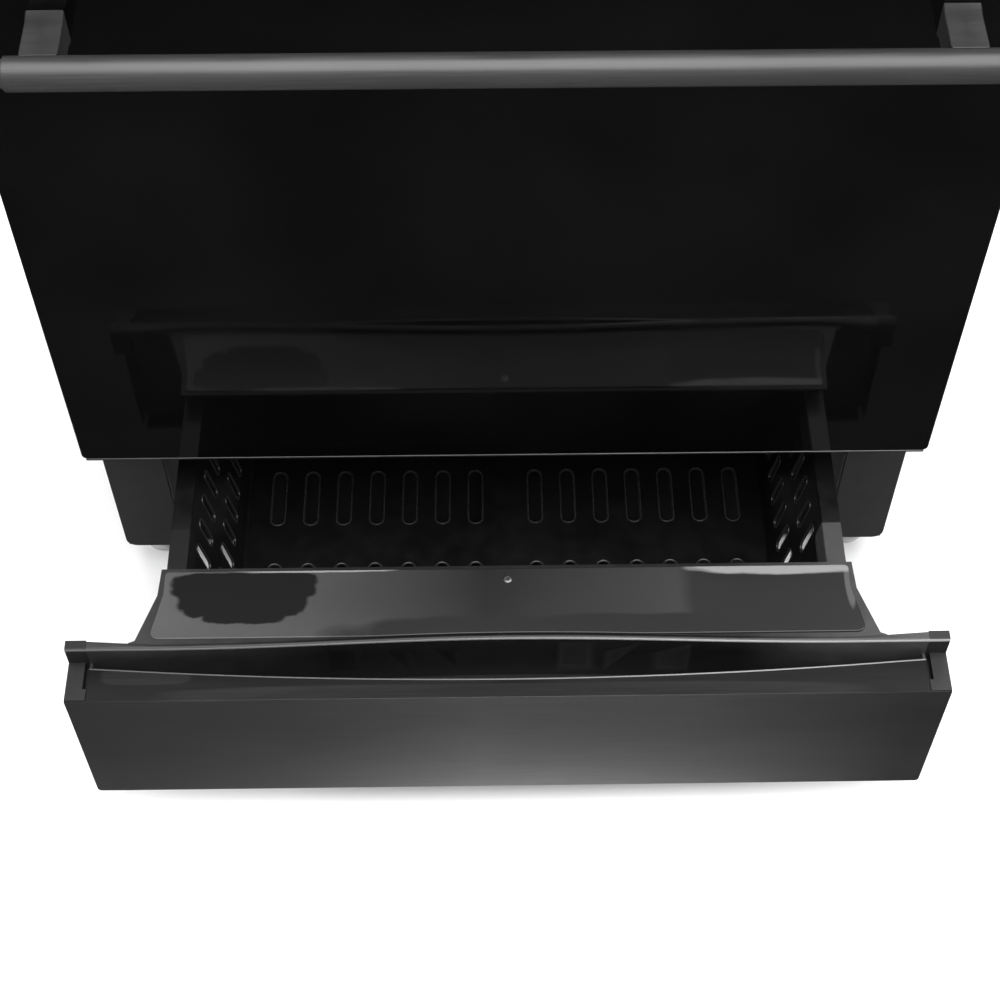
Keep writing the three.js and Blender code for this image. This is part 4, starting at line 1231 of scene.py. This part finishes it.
# ---------------------------------------------------------------- levelling legs
def make_leg(name):
    """Moulded foot, a hexagon to turn it by, and a threaded stud."""
    node = "levelling_leg_" + name
    low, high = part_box(node)
    x, y, _ = middle(low, high)
    pad_radius = (high.x - low.x) / 2
    pad = rod(node + "_finished", (x, y, 0), (x, y, 0.002), pad_radius - 0.001, 48, pad_radius)
    pick_facing(pad, 0, 0, 1)
    push((0, 0, 0.005))
    push((0, 0, 0.005))
    swell((0.58, 0.58, 1), (x, y, 0))
    done()
    rounded(pad, 0.0009, 3, 20)
    hexagon = rod("hexagon", (x, y, 0.0115), (x, y, 0.0215), 0.0112, 6)
    rounded(hexagon, 0.0008, 2)
    stud = rod("stud", (x, y, 0.021), (x, y, high.z), 0.0044, 20)
    rounded(stud, 0.0008, 2)
    pitch, start, root, crest = 0.0016, 0.0232, 0.0042, 0.0050
    turns = int((high.z - 0.0245) / pitch)
    lower = rod("ridge", (x, y, start), (x, y, start + pitch / 2), root, 16, crest)
    upper = rod("ridge", (x, y, start + pitch / 2), (x, y, start + pitch), crest, 16, root)
    ridge = mended(joined("ridge", [lower, upper]))
    thread = row_of("thread", ridge, [(0, 0, i * pitch) for i in range(turns)])
    dressed(joined(node + "_stud", [stud, smooth(thread)]), node, "grey_steel", replace=False)
    return dressed(joined(node + "_finished", [pad, hexagon]), node, "nylon")


# ---------------------------------------------------------------- the whole range
bpy.context.scene.view_settings.view_transform = "Standard"
add_camera()
add_surroundings()
add_floor()
# name, place, target, size, watts and whether mirrors show it
LAMPS = (
    ("ceiling", (0.5, -1.0, 2.9), (0.3, -1.0, 0.0), (3.2, 3.2), 100, True),
    ("wash", (0.0, -1.2, 3.4), (0.0, -0.6, 0.0), (4.0, 3.0), 100, False),
    ("left", (-2.6, -0.2, 1.7), (-0.6, 0.0, 0.0), (1.6, 1.6), 34, False),
    ("side", (2.6, -0.9, 1.5), (0.2, -0.3, 0.2), (1.0, 1.4), 24, True),
    ("rear", (0.6, 2.8, 2.2), (0.0, 0.3, 0.6), (2.4, 1.4), 60, True),
)
for lamp in LAMPS:
    add_lamp(*lamp)

make_drawer_tub()
eased("drawer_front_panel", 0.0006, 3, look="drawer_steel_painted_light")
make_pull()
make_pull_field()
ledge_top, lip_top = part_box("drawer_front_panel")[1].z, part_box("drawer_pull")[1].z
cap_inner, cap_outer = (corner.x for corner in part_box("drawer_end_cap_right"))
ledge_bead, lip_bead = 0.0009, 0.0012
make_edge_bead("ledge_edge", "drawer_front_panel", cap_inner - 0.0006, ledge_top - 0.0005, ledge_bead,
               ledge_rear)
make_edge_bead("lip_edge", "drawer_pull", cap_outer - 0.0004, lip_top - lip_bead, lip_bead, lip_front)
for hand in SIDES:
    make_end_cap(hand)
make_pull_screw()

make_door_glass()
make_door_trim()
make_handle_bar()
for name in VALVES:
    make_knob(name)
make_dial_marks()
for name in CORNERS:
    make_burner(name)
for node in ("oven_rack_lower", "oven_rack_upper"):
    make_rack(node)
for name in CORNERS:
    make_leg(name)
make_back_screws()

# edges rounded on copies of the remaining solids: radius, steps and nodes
EASED = (
    (0.0004, 1, ("chassis_frame",)),
    (0.0004, 2, ("back_panel",)),
    (0.0005, 2, ("side_panel_left", "side_panel_right", "front_frame", "oven_liner", "oven_floor_plate",
                 "door_hinge_left", "door_hinge_right")),
    (0.0006, 2, ("door_frame", "hinge_bracket_left", "hinge_bracket_right")),
    (0.0006, 3, ("control_panel", "backguard")),
    (0.0007, 2, ("door_inner_panel",)),
    (0.0007, 3, ("cooktop",)),
    (0.0008, 2, ("door_inner_glass", "oven_burner")),
    (0.0008, 3, ("front_roller_left", "front_roller_right", "rear_roller_left", "rear_roller_right")),
    (0.0012, 2, ("gas_manifold",)),
    (0.0018, 3, ("grate_left", "grate_right")),
    (0.0022, 4, ("door_handle_bracket_left", "door_handle_bracket_right")),
    (0.0026, 4, ("door_seal",)),
)
for width, segments, nodes in EASED:
    for node in nodes:
        eased(node, width, segments)
